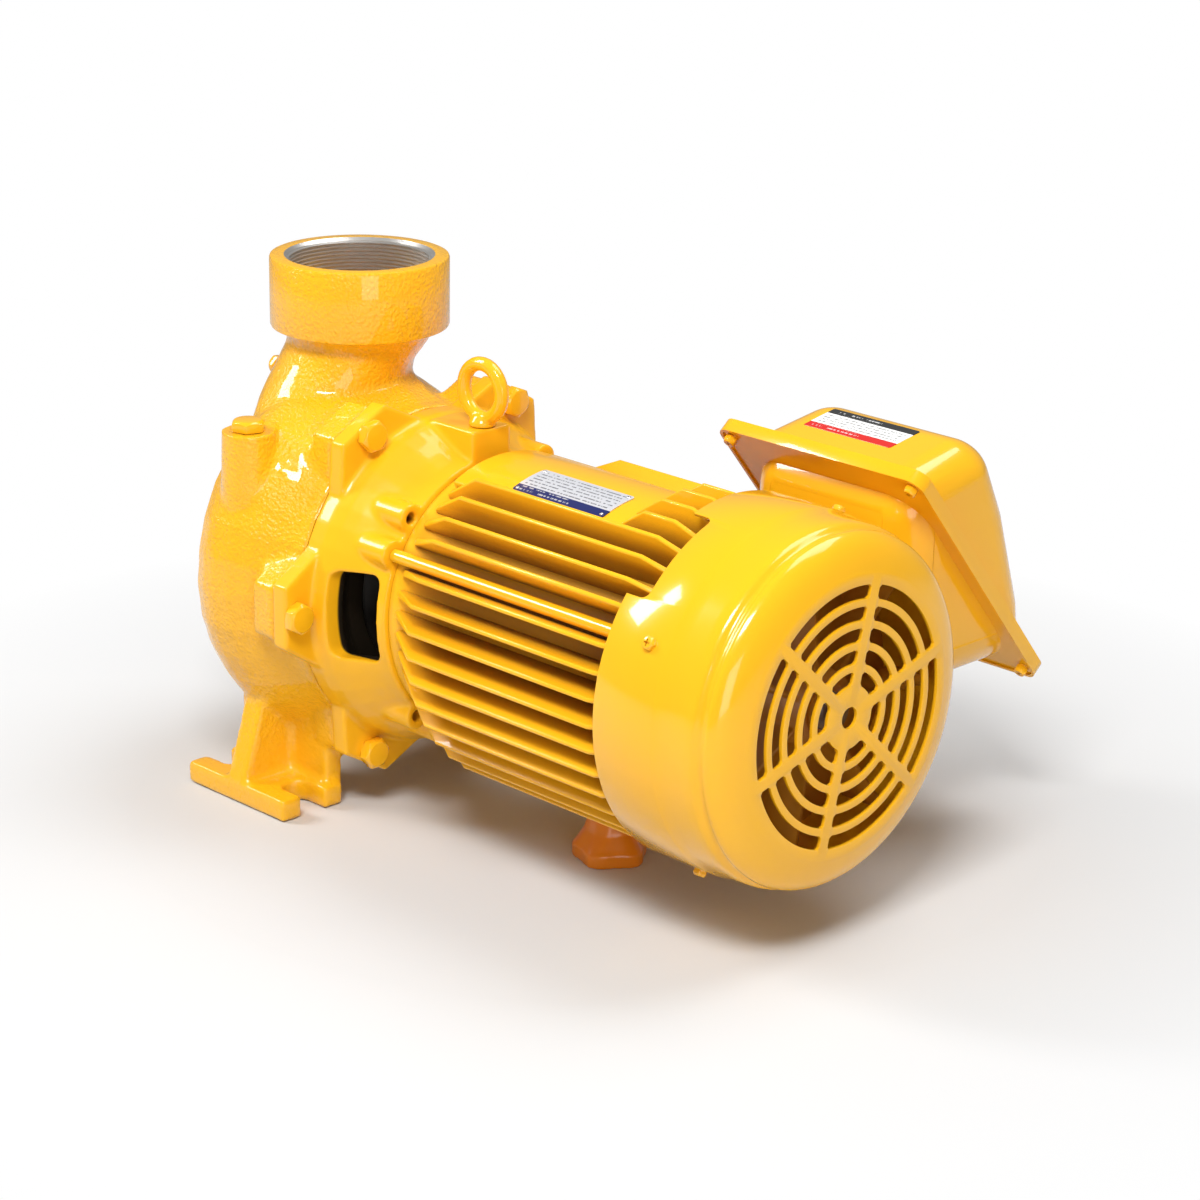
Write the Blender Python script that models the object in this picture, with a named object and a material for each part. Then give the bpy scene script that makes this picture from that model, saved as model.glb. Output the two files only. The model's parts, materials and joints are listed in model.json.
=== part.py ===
# Close-coupled centrifugal pump with a finned motor, metres, +Z up, resting on z = 0.
# X runs along the shaft from the suction port to the fan cover, -Y is the priming plug's side.
import math

import bmesh
import bpy
from mathutils import Matrix, Vector

MM = 0.001

# Driving dimensions, in millimetres. Heights are above the shaft unless they say floor.
SHAFT_H = 137.5
GAP = 0.3

# ports
PORT_R = 54.5
PORT_BORE_R = 43.9
PORT_CHAMFER = 1.8
PORT_THREAD_DEPTH = 30.0
PORT_WATERWAY_R = 37.5
PORT_BOSS_LEN = 43.5
NECK_RISE = 19.0
NECK_R = 43.0
SUCTION_FACE_X = -88.0

# volute
VOLUTE_R = 124.0
VOLUTE_BACK_X = -45.0
CASING_FACE_X = 60.4
WALL = 11.0
VOLUTE_STEPS = 36
PORT_STEPS = 48
RIM_SHARE = 0.83

# casing and bracket bolting
LUG_REACH = 19.58
LUG_HALF = 18.8
LUG_SLANT_ACROSS = 16.6
LUG_SLANT_DOWN = 24.9
LUG_T = 12.3
EAR_HALF = 15.5
EAR_T = 19.0
EAR_ROOT = 20.0
LUG_ROOT = 14.0
LUG_ANGLES = (30, 90, 150, 210, 270, 330)

# feet
FOOT_X0 = -36.5
FOOT_X1 = 55.0
FOOT_IN = 64.0
FOOT_OUT = 111.0
FOOT_T = 13.8
FOOT_SLOT_W = 18.0
FOOT_SLOT_L = 24.0
LEG_T = 17.0
LEG_WALL_T = 9.0

# priming plug and gauge plug
PLUG_BOSS_X = 11.0
PLUG_BOSS_IN = 27.0
PLUG_BOSS_DROP = 25.5
PLUG_BOSS_R = 15.8
PLUG_HEX_R = 10.4
PLUG_HEX_T = 7.0
GAUGE_BOSS_X = -60.0
GAUGE_BOSS_DROP = 36.0
GAUGE_BOSS_R = 8.5
GAUGE_PLUG_R = 6.6
GAUGE_PLUG_T = 6.0

# gasket, back plate and shaft seal
CASING_GASKET_T = 0.8
BACK_PLATE_R = 62.0
BACK_PLATE_T = 9.0
SEAL_BORE_R = 24.0
SEAL_RING_T = 5.0

# bracket
BRACKET_REAR_X = 118.0
BRACKET_REAR_LIP = 5.0
BRACKET_WALL = 9.0
WINDOW_X0 = 83.0
WINDOW_X1 = 111.0
WINDOW_HALF_H = 26.5
WINDOW_ROUND = 5.0
ROD_D = 8.0
ROD_CLEAR = 2.6
ROD_BOSS_R = 8.8
ROD_ANGLES = (62.3, 329.5, 242.3, 152.3)
SPARE_ANGLES = (46.7, 137.5, 222.5, 313.3)
SPARE_HOLE_R = 3.9
SPARE_HOLE_DEPTH = 12.0
EYE_PAD_X0 = 80.0
EYE_PAD_HALF = 15.0
EYE_PAD_RISE = 17.0

# eye bolt
EYE_RING_R = 16.2
EYE_WIRE_R = 4.4
EYE_COLLAR_R = 8.3
EYE_RISE = 21.2
EYE_X = 109.5

# motor frame
FRAME_X1 = 326.0
FRAME_CORE_R = 80.0
FRAME_SPIGOT_T = 4.0
FIN_HEIGHT = 23.3
FIN_T = 2.8
FIN_X0 = 125.0
FIN_TIP_X0 = 158.0
FIN_TIP_X1 = 302.0
FIN_X1 = 323.0
FIN_REAR_HEIGHT = 13.5
FIN_PITCH = 8.65
FIN_FIRST = 67.6
FINS_BELOW = 10
UPPER_FIN_PITCH = 8.4
UPPER_FIN_FIRST = 54.3
FINS_ABOVE = 4
SHORT_FIN_ANGLES = (21.0, 12.8, 3.8, 354.5)
SHORT_FIN_X0 = 254.0
SHORT_FIN_TIP_X0 = 279.0
PLATE_PAD_ANGLE = 27.0
PLATE_PAD_T = 9.5
BOX_PAD_X0 = 240.0
BOX_PAD_X1 = 299.0
BOX_PAD_H0 = -14.0
BOX_PAD_H1 = 46.0

# rear shield
SHIELD_T = 12.0
SHIELD_HUB_R = 34.0
SHIELD_HUB_T = 20.0
EAR_X0 = 331.0
EAR_X1 = 347.0
EAR_WIDE = 18.0

# fan cover
COVER_X0 = 310.0
COVER_X1 = 400.0
COVER_CLEAR = 0.5
COVER_T = 2.0
COVER_STEP_X = 356.0
COVER_GROOVE_X = 383.0
COVER_SHOULDER = 22.0
NOTCH_DEPTH = 15.0
NOTCH_FROM = 17.0
NOTCH_TO = 50.5
SCREW_X = 340.0
SCREW_PAD_LONG = 26.0
SCREW_PAD_WIDE = 22.0
SCREW_PAD_RISE = 1.3
GRILLE_RIM = 9.4
GRILLE_INNER_R = 14.0
GRILLE_ROWS = 5
GRILLE_SLOT_W = 7.4
GRILLE_SPOKES = 6
GRILLE_TURN = -13.5
GRILLE_SPOKE_W = 7.0
GRILLE_HOLE_R = 6.2

# fan and rotor
FAN_X0 = 353.0
FAN_X1 = 388.0
FAN_CLEAR = 15.8
FAN_BLADES = 7
FAN_HUB_R = 22.0
SHAFT_R = 14.0
SHAFT_END_R = 9.0
SHAFT_FAN_R = 11.0
SHAFT_X0 = -8.0
BEARING_CLEAR = 0.5
IMPELLER_R = 84.0
IMPELLER_HUB_T = 10.0
IMPELLER_X0 = 14.0
IMPELLER_SHROUD_X = 30.0
NUT_R = 14.5
NUT_T = 10.0

# terminal box, split on a slanting plane; BOX_SPLIT_* is its middle, BOX_SPLIT_TILT its normal's tilt from +Y
BOX_X0 = 219.5
BOX_X1 = 349.0
BOX_CLEAR = 2.2
BOX_H0 = -37.0
BOX_H1 = 97.5
BOX_DEPTH = 54.0
BOX_SPLIT_H = 33.0
BOX_SPLIT_TILT = 40.0
BOX_FLANGE_LONG = 193.0
BOX_FLANGE_LIP = 12.5
BOX_FLANGE_T = 2.6
BOX_CORNER_R = 14.0
BOX_COVER_RISE = 60.0
BOX_DRAFT = 5.0
BOX_GASKET_T = 1.6

# rear support
SUPPORT_X = 222.0
SUPPORT_R = 21.5
SUPPORT_EDGE_T = 7.5
SUPPORT_STEM_R = 12.0
SUPPORT_PAD_T = 5.0
STUD_LEN = 12.0
STUD_R = 6.0

ROUND = 36

# Sizes that follow from those above
DISCHARGE_TOP = VOLUTE_R + NECK_RISE + PORT_BOSS_LEN
PLUG_BOSS_Y = PLUG_BOSS_IN - VOLUTE_R
PLUG_BOSS_TOP = VOLUTE_R - PLUG_BOSS_DROP
GAUGE_BOSS_H = DISCHARGE_TOP - PORT_BOSS_LEN - GAUGE_BOSS_DROP
BRACKET_FRONT_R = VOLUTE_R * RIM_SHARE
BRACKET_FACE_X = CASING_FACE_X + 2 * GAP + CASING_GASKET_T
LUG_FLAT_R = BRACKET_FRONT_R + LUG_REACH
SEAL_RING_R = SHAFT_R + SEAL_RING_T
ROD_R = FRAME_CORE_R + ROD_CLEAR + ROD_D / 2
BRACKET_REAR_R = FRAME_CORE_R + BRACKET_REAR_LIP
EYE_PAD_TOP = BRACKET_REAR_R + EYE_PAD_RISE
EYE_CENTRE = EYE_PAD_TOP + EYE_RISE
FIN_TIP_R = FRAME_CORE_R + FIN_HEIGHT
FIN_REAR_R = FRAME_CORE_R + FIN_REAR_HEIGHT
PLATE_PAD_R = FRAME_CORE_R + PLATE_PAD_T
COVER_R = FIN_TIP_R + COVER_CLEAR + COVER_T
COVER_FACE_R = COVER_R - COVER_SHOULDER
GRILLE_R = COVER_FACE_R - GRILLE_RIM
FAN_R = COVER_R - COVER_T - FAN_CLEAR
BOX_Y0 = COVER_R + BOX_CLEAR
BOX_SPLIT_Y = BOX_Y0 + BOX_DEPTH
SUPPORT_TOP = -FRAME_CORE_R - SUPPORT_PAD_T - STUD_LEN


def clear_scene():
    for obj in list(bpy.data.objects):
        bpy.data.objects.remove(obj, do_unlink=True)
    for group in list(bpy.data.collections):
        bpy.data.collections.remove(group)


clear_scene()
pump = bpy.data.collections.new("centrifugal_pump")
cutters = bpy.data.collections.new("cutters")
bpy.context.scene.collection.children.link(pump)
bpy.context.scene.collection.children.link(cutters)
cutters.hide_render = True

YELLOW = (0.93, 0.47, 0.018)


def material(name, colour, rough, metal=0.0, coat=0.0):
    mat = bpy.data.materials.new(name)
    mat.use_nodes = True
    node = mat.node_tree.nodes["Principled BSDF"]
    node.inputs["Base Color"].default_value = (*colour, 1.0)
    node.inputs["Roughness"].default_value = rough
    node.inputs["Metallic"].default_value = metal
    node.inputs["Coat Weight"].default_value = coat
    return mat


def place(mesh, name, group=pump):
    obj = bpy.data.objects.new(name, mesh)
    group.objects.link(obj)
    return obj


def finish(bm, name, group=pump, smooth=40.0):
    """The bmesh in millimetres about the shaft axis becomes an object in metres above the floor."""
    bmesh.ops.remove_doubles(bm, verts=bm.verts, dist=1e-4)
    bmesh.ops.recalc_face_normals(bm, faces=bm.faces)
    bm.transform(Matrix.Translation((0, 0, SHAFT_H * MM)) @ Matrix.Scale(MM, 4))
    mesh = bpy.data.meshes.new(name)
    bm.to_mesh(mesh)
    bm.free()
    mesh.shade_smooth()
    mesh.set_sharp_from_angle(angle=math.radians(smooth))
    return place(mesh, name, group)


def turn_x(degrees):
    """Turns about the shaft so that 0 is up and 90 is the near side, -Y."""
    return Matrix.Rotation(math.radians(degrees), 4, "X")


def revolve(bm, profile, axis="X", steps=ROUND, centre=(0, 0, 0)):
    """Solid turned from (along, radius) points; a profile that leaves the axis is closed into a ring."""
    centre = Vector(centre)
    verts = [
        bm.verts.new(centre + Vector((along, 0, r) if axis == "X" else (r, 0, along))) for along, r in profile
    ]
    links = list(zip(verts, verts[1:]))
    if profile[0][1] > 0 and profile[-1][1] > 0:
        links.append((verts[-1], verts[0]))
    edges = [bm.edges.new(pair) for pair in links]
    bmesh.ops.spin(
        bm, geom=verts + edges, cent=centre, axis=(1, 0, 0) if axis == "X" else (0, 0, 1),
        angle=2 * math.pi, steps=steps, use_merge=True,
    )
    bmesh.ops.remove_doubles(bm, verts=bm.verts, dist=1e-5)


def cylinder(bm, p0, p1, r0, r1=None, steps=24):
    p0, p1 = Vector(p0), Vector(p1)
    axis = p1 - p0
    turn = axis.to_track_quat("Z", "Y").to_matrix().to_4x4()
    bmesh.ops.create_cone(
        bm, cap_ends=True, segments=steps, radius1=r0, radius2=r0 if r1 is None else r1,
        depth=axis.length, matrix=Matrix.Translation((p0 + p1) / 2) @ turn,
    )


def prism(bm, outline, lo, hi, axis="X", turn=None):
    """Outline (u, v) pushed from lo to hi along the axis: X takes (y, z), Y takes (x, z), Z takes (x, y)."""
    turn = turn or Matrix.Identity(4)
    spots = {"X": lambda u, v: (lo, u, v), "Y": lambda u, v: (u, lo, v), "Z": lambda u, v: (u, v, lo)}[axis]
    push = Vector({"X": (hi - lo, 0, 0), "Y": (0, hi - lo, 0), "Z": (0, 0, hi - lo)}[axis])
    face = bm.faces.new([bm.verts.new(turn @ Vector(spots(u, v))) for u, v in outline])
    raised = bmesh.ops.extrude_face_region(bm, geom=[face])["geom"]
    moved = [v for v in raised if isinstance(v, bmesh.types.BMVert)]
    bmesh.ops.translate(bm, verts=moved, vec=turn.to_3x3() @ push)


def loft(bm, sections):
    """Closed skin through rings of points, all of one length, with both ends filled."""
    rings = [[bm.verts.new(Vector(p)) for p in ring] for ring in sections]
    n = len(rings[0])
    for a, b in zip(rings, rings[1:]):
        for i in range(n):
            bm.faces.new([a[i], a[(i + 1) % n], b[(i + 1) % n], b[i]])
    bm.faces.new(rings[0])
    bm.faces.new(rings[-1])
    bmesh.ops.recalc_face_normals(bm, faces=bm.faces)


def boolean(obj, other, operation):
    step = obj.modifiers.new(operation.lower(), "BOOLEAN")
    step.operation = operation
    step.solver = "EXACT"
    step.object = other
    other.hide_render = True
    other.display_type = "WIRE"


def helper(build, name):
    bm = bmesh.new()
    build(bm)
    return finish(bm, name, cutters)


def cut(obj, build, name):
    boolean(obj, helper(build, name), "DIFFERENCE")


def join(obj, build, name):
    boolean(obj, helper(build, name), "UNION")


def dress(obj, mat):
    obj.data.materials.clear()
    obj.data.materials.append(mat)
    return obj


def ring_spot(angle, radius, x=0.0):
    """A place at this angle round the shaft, 0 up and 90 on the near side."""
    spot = turn_x(angle) @ Vector((0, 0, radius))
    return Vector((x, spot.y, spot.z))


# Volute casing: the scroll is a loft round the shaft whose radius falls from the discharge side
SCROLL_RADII = (
    (0, 0.99), (55, 1.015), (90, 1.0), (134, 0.968), (180, 0.93), (270, 0.875), (330, 0.87), (360, 0.99),
)
SCROLL_SECTION = (
    (0.0, 0.0), (0.0, 0.45), (0.03, 0.62), (0.10, 0.75), (0.19, 0.865), (0.30, 0.955), (0.40, 0.99),
    (0.48, 1.0),
    (0.60, 0.985), (0.72, 0.94), (0.83, 0.88), (0.92, RIM_SHARE + 0.01), (1.0, RIM_SHARE), (1.0, 0.0),
)
SCROLL_ROUND_R = 0.5


def scroll_factor(turn):
    """Radius over VOLUTE_R at this many degrees from the top towards the near side."""
    turn %= 360.0
    for (a, f), (b, g) in zip(SCROLL_RADII, SCROLL_RADII[1:]):
        if a <= turn <= b:
            t = (turn - a) / (b - a)
            return f + (g - f) * t * t * (3 - 2 * t)
    return 1.0


def scroll(bm, back, front, outer):
    """Scroll body between two planes. Its swell fades out towards the eye and at the bolting face."""
    rings = []
    for i in range(VOLUTE_STEPS):
        t = 2 * math.pi * i / VOLUTE_STEPS
        f = scroll_factor(math.degrees(t))
        ring = []
        for along, r in SCROLL_SECTION:
            swell = min(1.0, max(0.0, (r - SCROLL_ROUND_R) * 2)) * min(1.0, max(0.0, (0.95 - along) * 5))
            radius = r * outer * (1 + (f - 1) * swell)
            x = back + (front - back) * along
            ring.append(bm.verts.new((x, -radius * math.sin(t), radius * math.cos(t))))
        rings.append(ring)
    last = len(SCROLL_SECTION) - 2
    for a, b in zip(rings, rings[1:] + rings[:1]):
        for j in range(last + 1):
            quad = [a[j], b[j], b[j + 1], a[j + 1]]
            bm.faces.new(quad[:1] + quad[2:] if j == 0 else quad[:3] if j == last else quad)
    bmesh.ops.remove_doubles(bm, verts=bm.verts, dist=1e-5)


def ellipse_ring(h, cx, cy, rx, ry, steps=32):
    return [
        (cx + rx * math.cos(2 * math.pi * i / steps), cy + ry * math.sin(2 * math.pi * i / steps), h)
        for i in range(steps)
    ]


# Neck outline: drop below the boss, middle (x, y) and half widths, leaning to the near side as it goes down
NECK_OUTLINE = (
    (9, -1, -1, 0.99, 1.0), (20, -3.5, -8, 0.94, 0.98), (31, -5, -12, 0.92, 1.09), (42, -5, -16, 0.88, 1.21),
    (62, -4, -26, 0.79, 1.26), (85, -2, -30, 0.72, 1.21),
)
NECK_WALL = 6.0


def neck_rings(wall):
    base = DISCHARGE_TOP - PORT_BOSS_LEN
    return [
        ellipse_ring(base - drop, cx, cy, NECK_R * wide - wall, NECK_R * deep - wall)
        for drop, cx, cy, wide, deep in NECK_OUTLINE
    ]


def neck(bm):
    """Loft from the round discharge boss down into the scroll, with a flare under the boss."""
    base, r = DISCHARGE_TOP - PORT_BOSS_LEN, NECK_R
    flare = [ellipse_ring(base + 3, 0, 0, r + 5.5, r + 5.5), ellipse_ring(base - 3, 0, -0.5, r + 2, r + 2)]
    loft(bm, flare + neck_rings(0))


def waterway(bm):
    """The way through the neck: round at the thread, then the neck's own outline less its wall."""
    start = DISCHARGE_TOP - PORT_THREAD_DEPTH + 1
    loft(bm, [ellipse_ring(start, 0, 0, PORT_WATERWAY_R, PORT_WATERWAY_R)] + neck_rings(NECK_WALL))


def lug_outline(half, flat, across, down, root):
    """Half hexagon lug, outer flat up, in (y, z) before it is turned round the shaft."""
    wide, low = half + across, flat - down
    return [(-half, flat), (half, flat), (wide, low), (wide, root), (-wide, root), (-wide, low)]


def build_casing():
    bm = bmesh.new()
    scroll(bm, VOLUTE_BACK_X, CASING_FACE_X, VOLUTE_R)
    casing = finish(bm, "volute_casing")
    join(casing, neck, "neck_body")
    boss_base = DISCHARGE_TOP - PORT_BOSS_LEN
    join(casing, lambda b: cylinder(
        b, (0, 0, boss_base), (0, 0, DISCHARGE_TOP), PORT_R, steps=PORT_STEPS), "discharge_boss")
    join(casing, lambda b: cylinder(
        b, (SUCTION_FACE_X, 0, 0), (VOLUTE_BACK_X + 6, 0, 0), PORT_R, steps=PORT_STEPS), "suction_boss")
    ear_flat = LUG_FLAT_R - 1.5
    ear = lug_outline(EAR_HALF, ear_flat, LUG_SLANT_ACROSS - 1, LUG_SLANT_DOWN, BACK_PLATE_R + EAR_ROOT)
    for a in LUG_ANGLES:
        join(casing, lambda b, a=a: prism(
            b, ear, CASING_FACE_X - EAR_T, CASING_FACE_X - 0.2, "X", turn_x(a)), "ear_%d" % a)
    boss_x, boss_y = PLUG_BOSS_X, PLUG_BOSS_Y
    join(casing, lambda b: cylinder(
        b, (boss_x, boss_y, VOLUTE_R * 0.3), (boss_x, boss_y, PLUG_BOSS_TOP), PLUG_BOSS_R + 1.5, PLUG_BOSS_R,
        steps=28), "plug_boss")
    join(casing, lambda b: cylinder(
        b, (0, -NECK_R * 0.3, GAUGE_BOSS_H), (GAUGE_BOSS_X, -NECK_R * 0.3, GAUGE_BOSS_H), GAUGE_BOSS_R + 1.5,
        GAUGE_BOSS_R, steps=20), "gauge_boss")
    for side in (-1, 1):
        build_foot(casing, side)
    cut(casing, lambda b: scroll(b, VOLUTE_BACK_X + WALL, CASING_FACE_X + 8, VOLUTE_R - WALL), "chamber")
    thread_end = DISCHARGE_TOP - PORT_THREAD_DEPTH
    cut(casing, waterway, "discharge_waterway")
    cut(casing, lambda b: revolve(b, [
        (thread_end, 0), (thread_end, PORT_WATERWAY_R), (thread_end + 4, PORT_BORE_R),
        (DISCHARGE_TOP - PORT_CHAMFER, PORT_BORE_R), (DISCHARGE_TOP, PORT_BORE_R + PORT_CHAMFER),
        (DISCHARGE_TOP + 5, PORT_BORE_R + PORT_CHAMFER), (DISCHARGE_TOP + 5, 0)], "Z", PORT_STEPS), "discharge_bore")
    face = SUCTION_FACE_X
    cut(casing, lambda b: revolve(b, [
        (face - 5, 0), (face - 5, PORT_BORE_R + PORT_CHAMFER), (face, PORT_BORE_R + PORT_CHAMFER),
        (face + PORT_CHAMFER, PORT_BORE_R), (face + PORT_THREAD_DEPTH - 4, PORT_BORE_R),
        (face + PORT_THREAD_DEPTH, PORT_WATERWAY_R), (0, PORT_WATERWAY_R), (0, 0)], "X", PORT_STEPS), "suction_way")
    return dress(casing, material("volute paint", YELLOW, 0.3, coat=0.6))


def build_foot(casing, side):
    """Foot pad with two open slots, an upright wall on its inner edge and a sloping web across."""
    floor, rise = -SHAFT_H, -SHAFT_H + FOOT_T
    y0, y1 = sorted((side * FOOT_IN, side * FOOT_OUT))
    mid = (FOOT_X0 + FOOT_X1) / 2
    reach = -VOLUTE_R * 0.56
    pad = [(FOOT_X0, y0), (FOOT_X1, y0), (FOOT_X1, y1), (FOOT_X0, y1)]
    wall_y = sorted((side * (FOOT_IN - 4), side * (FOOT_IN + LEG_WALL_T)))
    wx0, wx1 = FOOT_X0 + 6, FOOT_X1 - 5
    wall = [(wx0, wall_y[0]), (wx1, wall_y[0]), (wx1, wall_y[1]), (wx0, wall_y[1])]
    web_in, web_out = side * (FOOT_IN + 2), side * (FOOT_OUT - 0.5)
    web = [(web_in, floor + 2), (web_out, floor + 2), (web_out, rise), (side * (FOOT_OUT - 17), reach),
           (web_in, reach)]
    join(casing, lambda b: prism(b, wall, floor + FOOT_T / 2, reach, "Z"), "leg_wall_%d" % side)
    join(casing, lambda b: prism(b, web, mid - LEG_T / 2, mid + LEG_T / 2, "X"), "leg_web_%d" % side)
    join(casing, lambda b: prism(b, pad, floor, rise, "Z"), "foot_pad_%d" % side)
    r = FOOT_SLOT_W / 2
    for end, edge in ((-1, FOOT_X0), (1, FOOT_X1)):
        inner, y = edge - end * (FOOT_SLOT_L - r), (y0 + y1) / 2
        slot = [(edge + end * 5, y - r), (edge + end * 5, y + r)]
        for k in range(11):
            t = math.pi / 2 + math.pi * k / 10
            slot.append((inner + end * r * math.cos(t), y + r * math.sin(t)))
        name = "foot_slot_%d_%d" % (side, end)
        cut(casing, lambda b, s=slot: prism(b, s, floor - 5, rise + 1.5, "Z"), name)


def build_plugs():
    base = PLUG_BOSS_TOP + GAP
    bm = bmesh.new()
    x, y = PLUG_BOSS_X, PLUG_BOSS_Y
    cylinder(bm, (x, y, base), (x, y, base + PLUG_HEX_T), PLUG_HEX_R, steps=6)
    dress(finish(bm, "priming_plug"), material("plug paint", YELLOW, 0.3, coat=0.5))
    x, y = GAUGE_BOSS_X - GAP, -NECK_R * 0.3
    bm = bmesh.new()
    end = x - GAUGE_PLUG_T
    revolve(bm, [(x, 0), (x, GAUGE_PLUG_R), (end + 1.8, GAUGE_PLUG_R), (end, GAUGE_PLUG_R * 0.7), (end, 0)],
            "X", 16, (0, y, GAUGE_BOSS_H))
    dress(finish(bm, "gauge_plug"), material("gauge plug paint", YELLOW, 0.3, coat=0.5))


def build_seal_parts():
    x = CASING_FACE_X + GAP
    bm = bmesh.new()
    inner, outer = BRACKET_FRONT_R - 12, BRACKET_FRONT_R - 0.5
    end = x + CASING_GASKET_T
    revolve(bm, [(x, inner), (x, outer), (end, outer), (end, inner)], "X", ROUND)
    dress(finish(bm, "casing_gasket"), material("gasket fibre", (0.1, 0.08, 0.06), 0.8))
    x = BRACKET_FACE_X
    bm = bmesh.new()
    rear = x + BACK_PLATE_T
    revolve(bm, [(x, SEAL_BORE_R), (x, BACK_PLATE_R), (rear, BACK_PLATE_R), (rear, SEAL_BORE_R + 8),
                 (rear + 6, SEAL_BORE_R + 6), (rear + 6, SEAL_BORE_R)], "X", ROUND)
    dress(finish(bm, "back_plate"), material("back plate iron", (0.2, 0.17, 0.14), 0.6, 0.5))


def build_bracket():
    face, rear = BRACKET_FACE_X, BRACKET_REAR_X
    front_r, rear_r = BRACKET_FRONT_R, BRACKET_REAR_R
    fall = front_r - rear_r
    bm = bmesh.new()
    revolve(bm, [
        (face, BACK_PLATE_R + GAP), (face, front_r), (face + LUG_T, front_r),
        (face + LUG_T + 8, front_r - 0.12 * fall), (face + LUG_T + 16, front_r - 0.34 * fall),
        (face + LUG_T + 26, front_r - 0.66 * fall), (face + LUG_T + 35, front_r - 0.88 * fall),
        (rear, rear_r), (rear, 40), (rear - 7, 40), (rear - 9, rear_r - BRACKET_WALL - 2),
        (face + LUG_T + 10, front_r - BRACKET_WALL - 5),
        (face + LUG_T, BACK_PLATE_R + 14), (face + LUG_T, BACK_PLATE_R + GAP),
    ], "X", 48)
    bracket = finish(bm, "motor_bracket")
    lug = lug_outline(LUG_HALF, LUG_FLAT_R, LUG_SLANT_ACROSS, LUG_SLANT_DOWN, front_r - LUG_ROOT)
    for a in LUG_ANGLES:
        join(bracket, lambda b, a=a: prism(
            b, lug, face + 0.2, face + LUG_T - 0.2, "X", turn_x(a)), "lug_%d" % a)
    for a in ROD_ANGLES + SPARE_ANGLES:
        p = ring_spot(a, ROD_R)
        join(bracket, lambda b, p=p: cylinder(
            b, (face + LUG_T + 12, p.y, p.z), (rear - 0.4, p.y, p.z), ROD_BOSS_R, steps=20),
            "rod_boss_%d" % a)
    pad = [(-EYE_PAD_HALF, rear_r - 12), (EYE_PAD_HALF, rear_r - 12), (EYE_PAD_HALF, EYE_PAD_TOP),
           (-EYE_PAD_HALF, EYE_PAD_TOP)]
    join(bracket, lambda b: prism(b, pad, EYE_PAD_X0, rear - 0.2, "X"), "eye_pad")
    for a in SPARE_ANGLES:
        p = ring_spot(a, ROD_R)
        cut(bracket, lambda b, p=p: cylinder(
            b, (rear - SPARE_HOLE_DEPTH, p.y, p.z), (rear + 5, p.y, p.z), SPARE_HOLE_R, steps=16),
            "spare_hole_%d" % a)
    h, r = WINDOW_HALF_H, WINDOW_ROUND
    window = []
    for cx, cz, start in ((WINDOW_X1 - r, h - r, 0), (WINDOW_X0 + r, h - r, 90), (WINDOW_X0 + r, r - h, 180),
                          (WINDOW_X1 - r, r - h, 270)):
        for k in range(4):
            t = math.radians(start + 30 * k)
            window.append((cx + r * math.cos(t), cz + r * math.sin(t)))
    for side in (-1, 1):
        cut(bracket, lambda b, s=side: prism(b, window, s * 60, s * 130, "Y"), "window_%d" % side)
    return dress(bracket, material("bracket paint", YELLOW, 0.25, coat=0.7))


def fin_angles():
    """Near side fins as measured, the far side their mirror, without those at the box and the support."""
    near = [UPPER_FIN_FIRST - UPPER_FIN_PITCH * i for i in range(FINS_ABOVE)]
    near += [FIN_FIRST + FIN_PITCH * i for i in range(FINS_BELOW)]
    clear = math.degrees((ROD_D / 2 + FIN_T / 2 + 1.2) / ROD_R)
    angles = near + [360 - a - 3.5 for a in near if 360 - a - 3.5 > 180 + FIN_PITCH]
    return [a for a in angles if all(abs((a - s + 180) % 360 - 180) > clear for s in ROD_ANGLES)]


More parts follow.
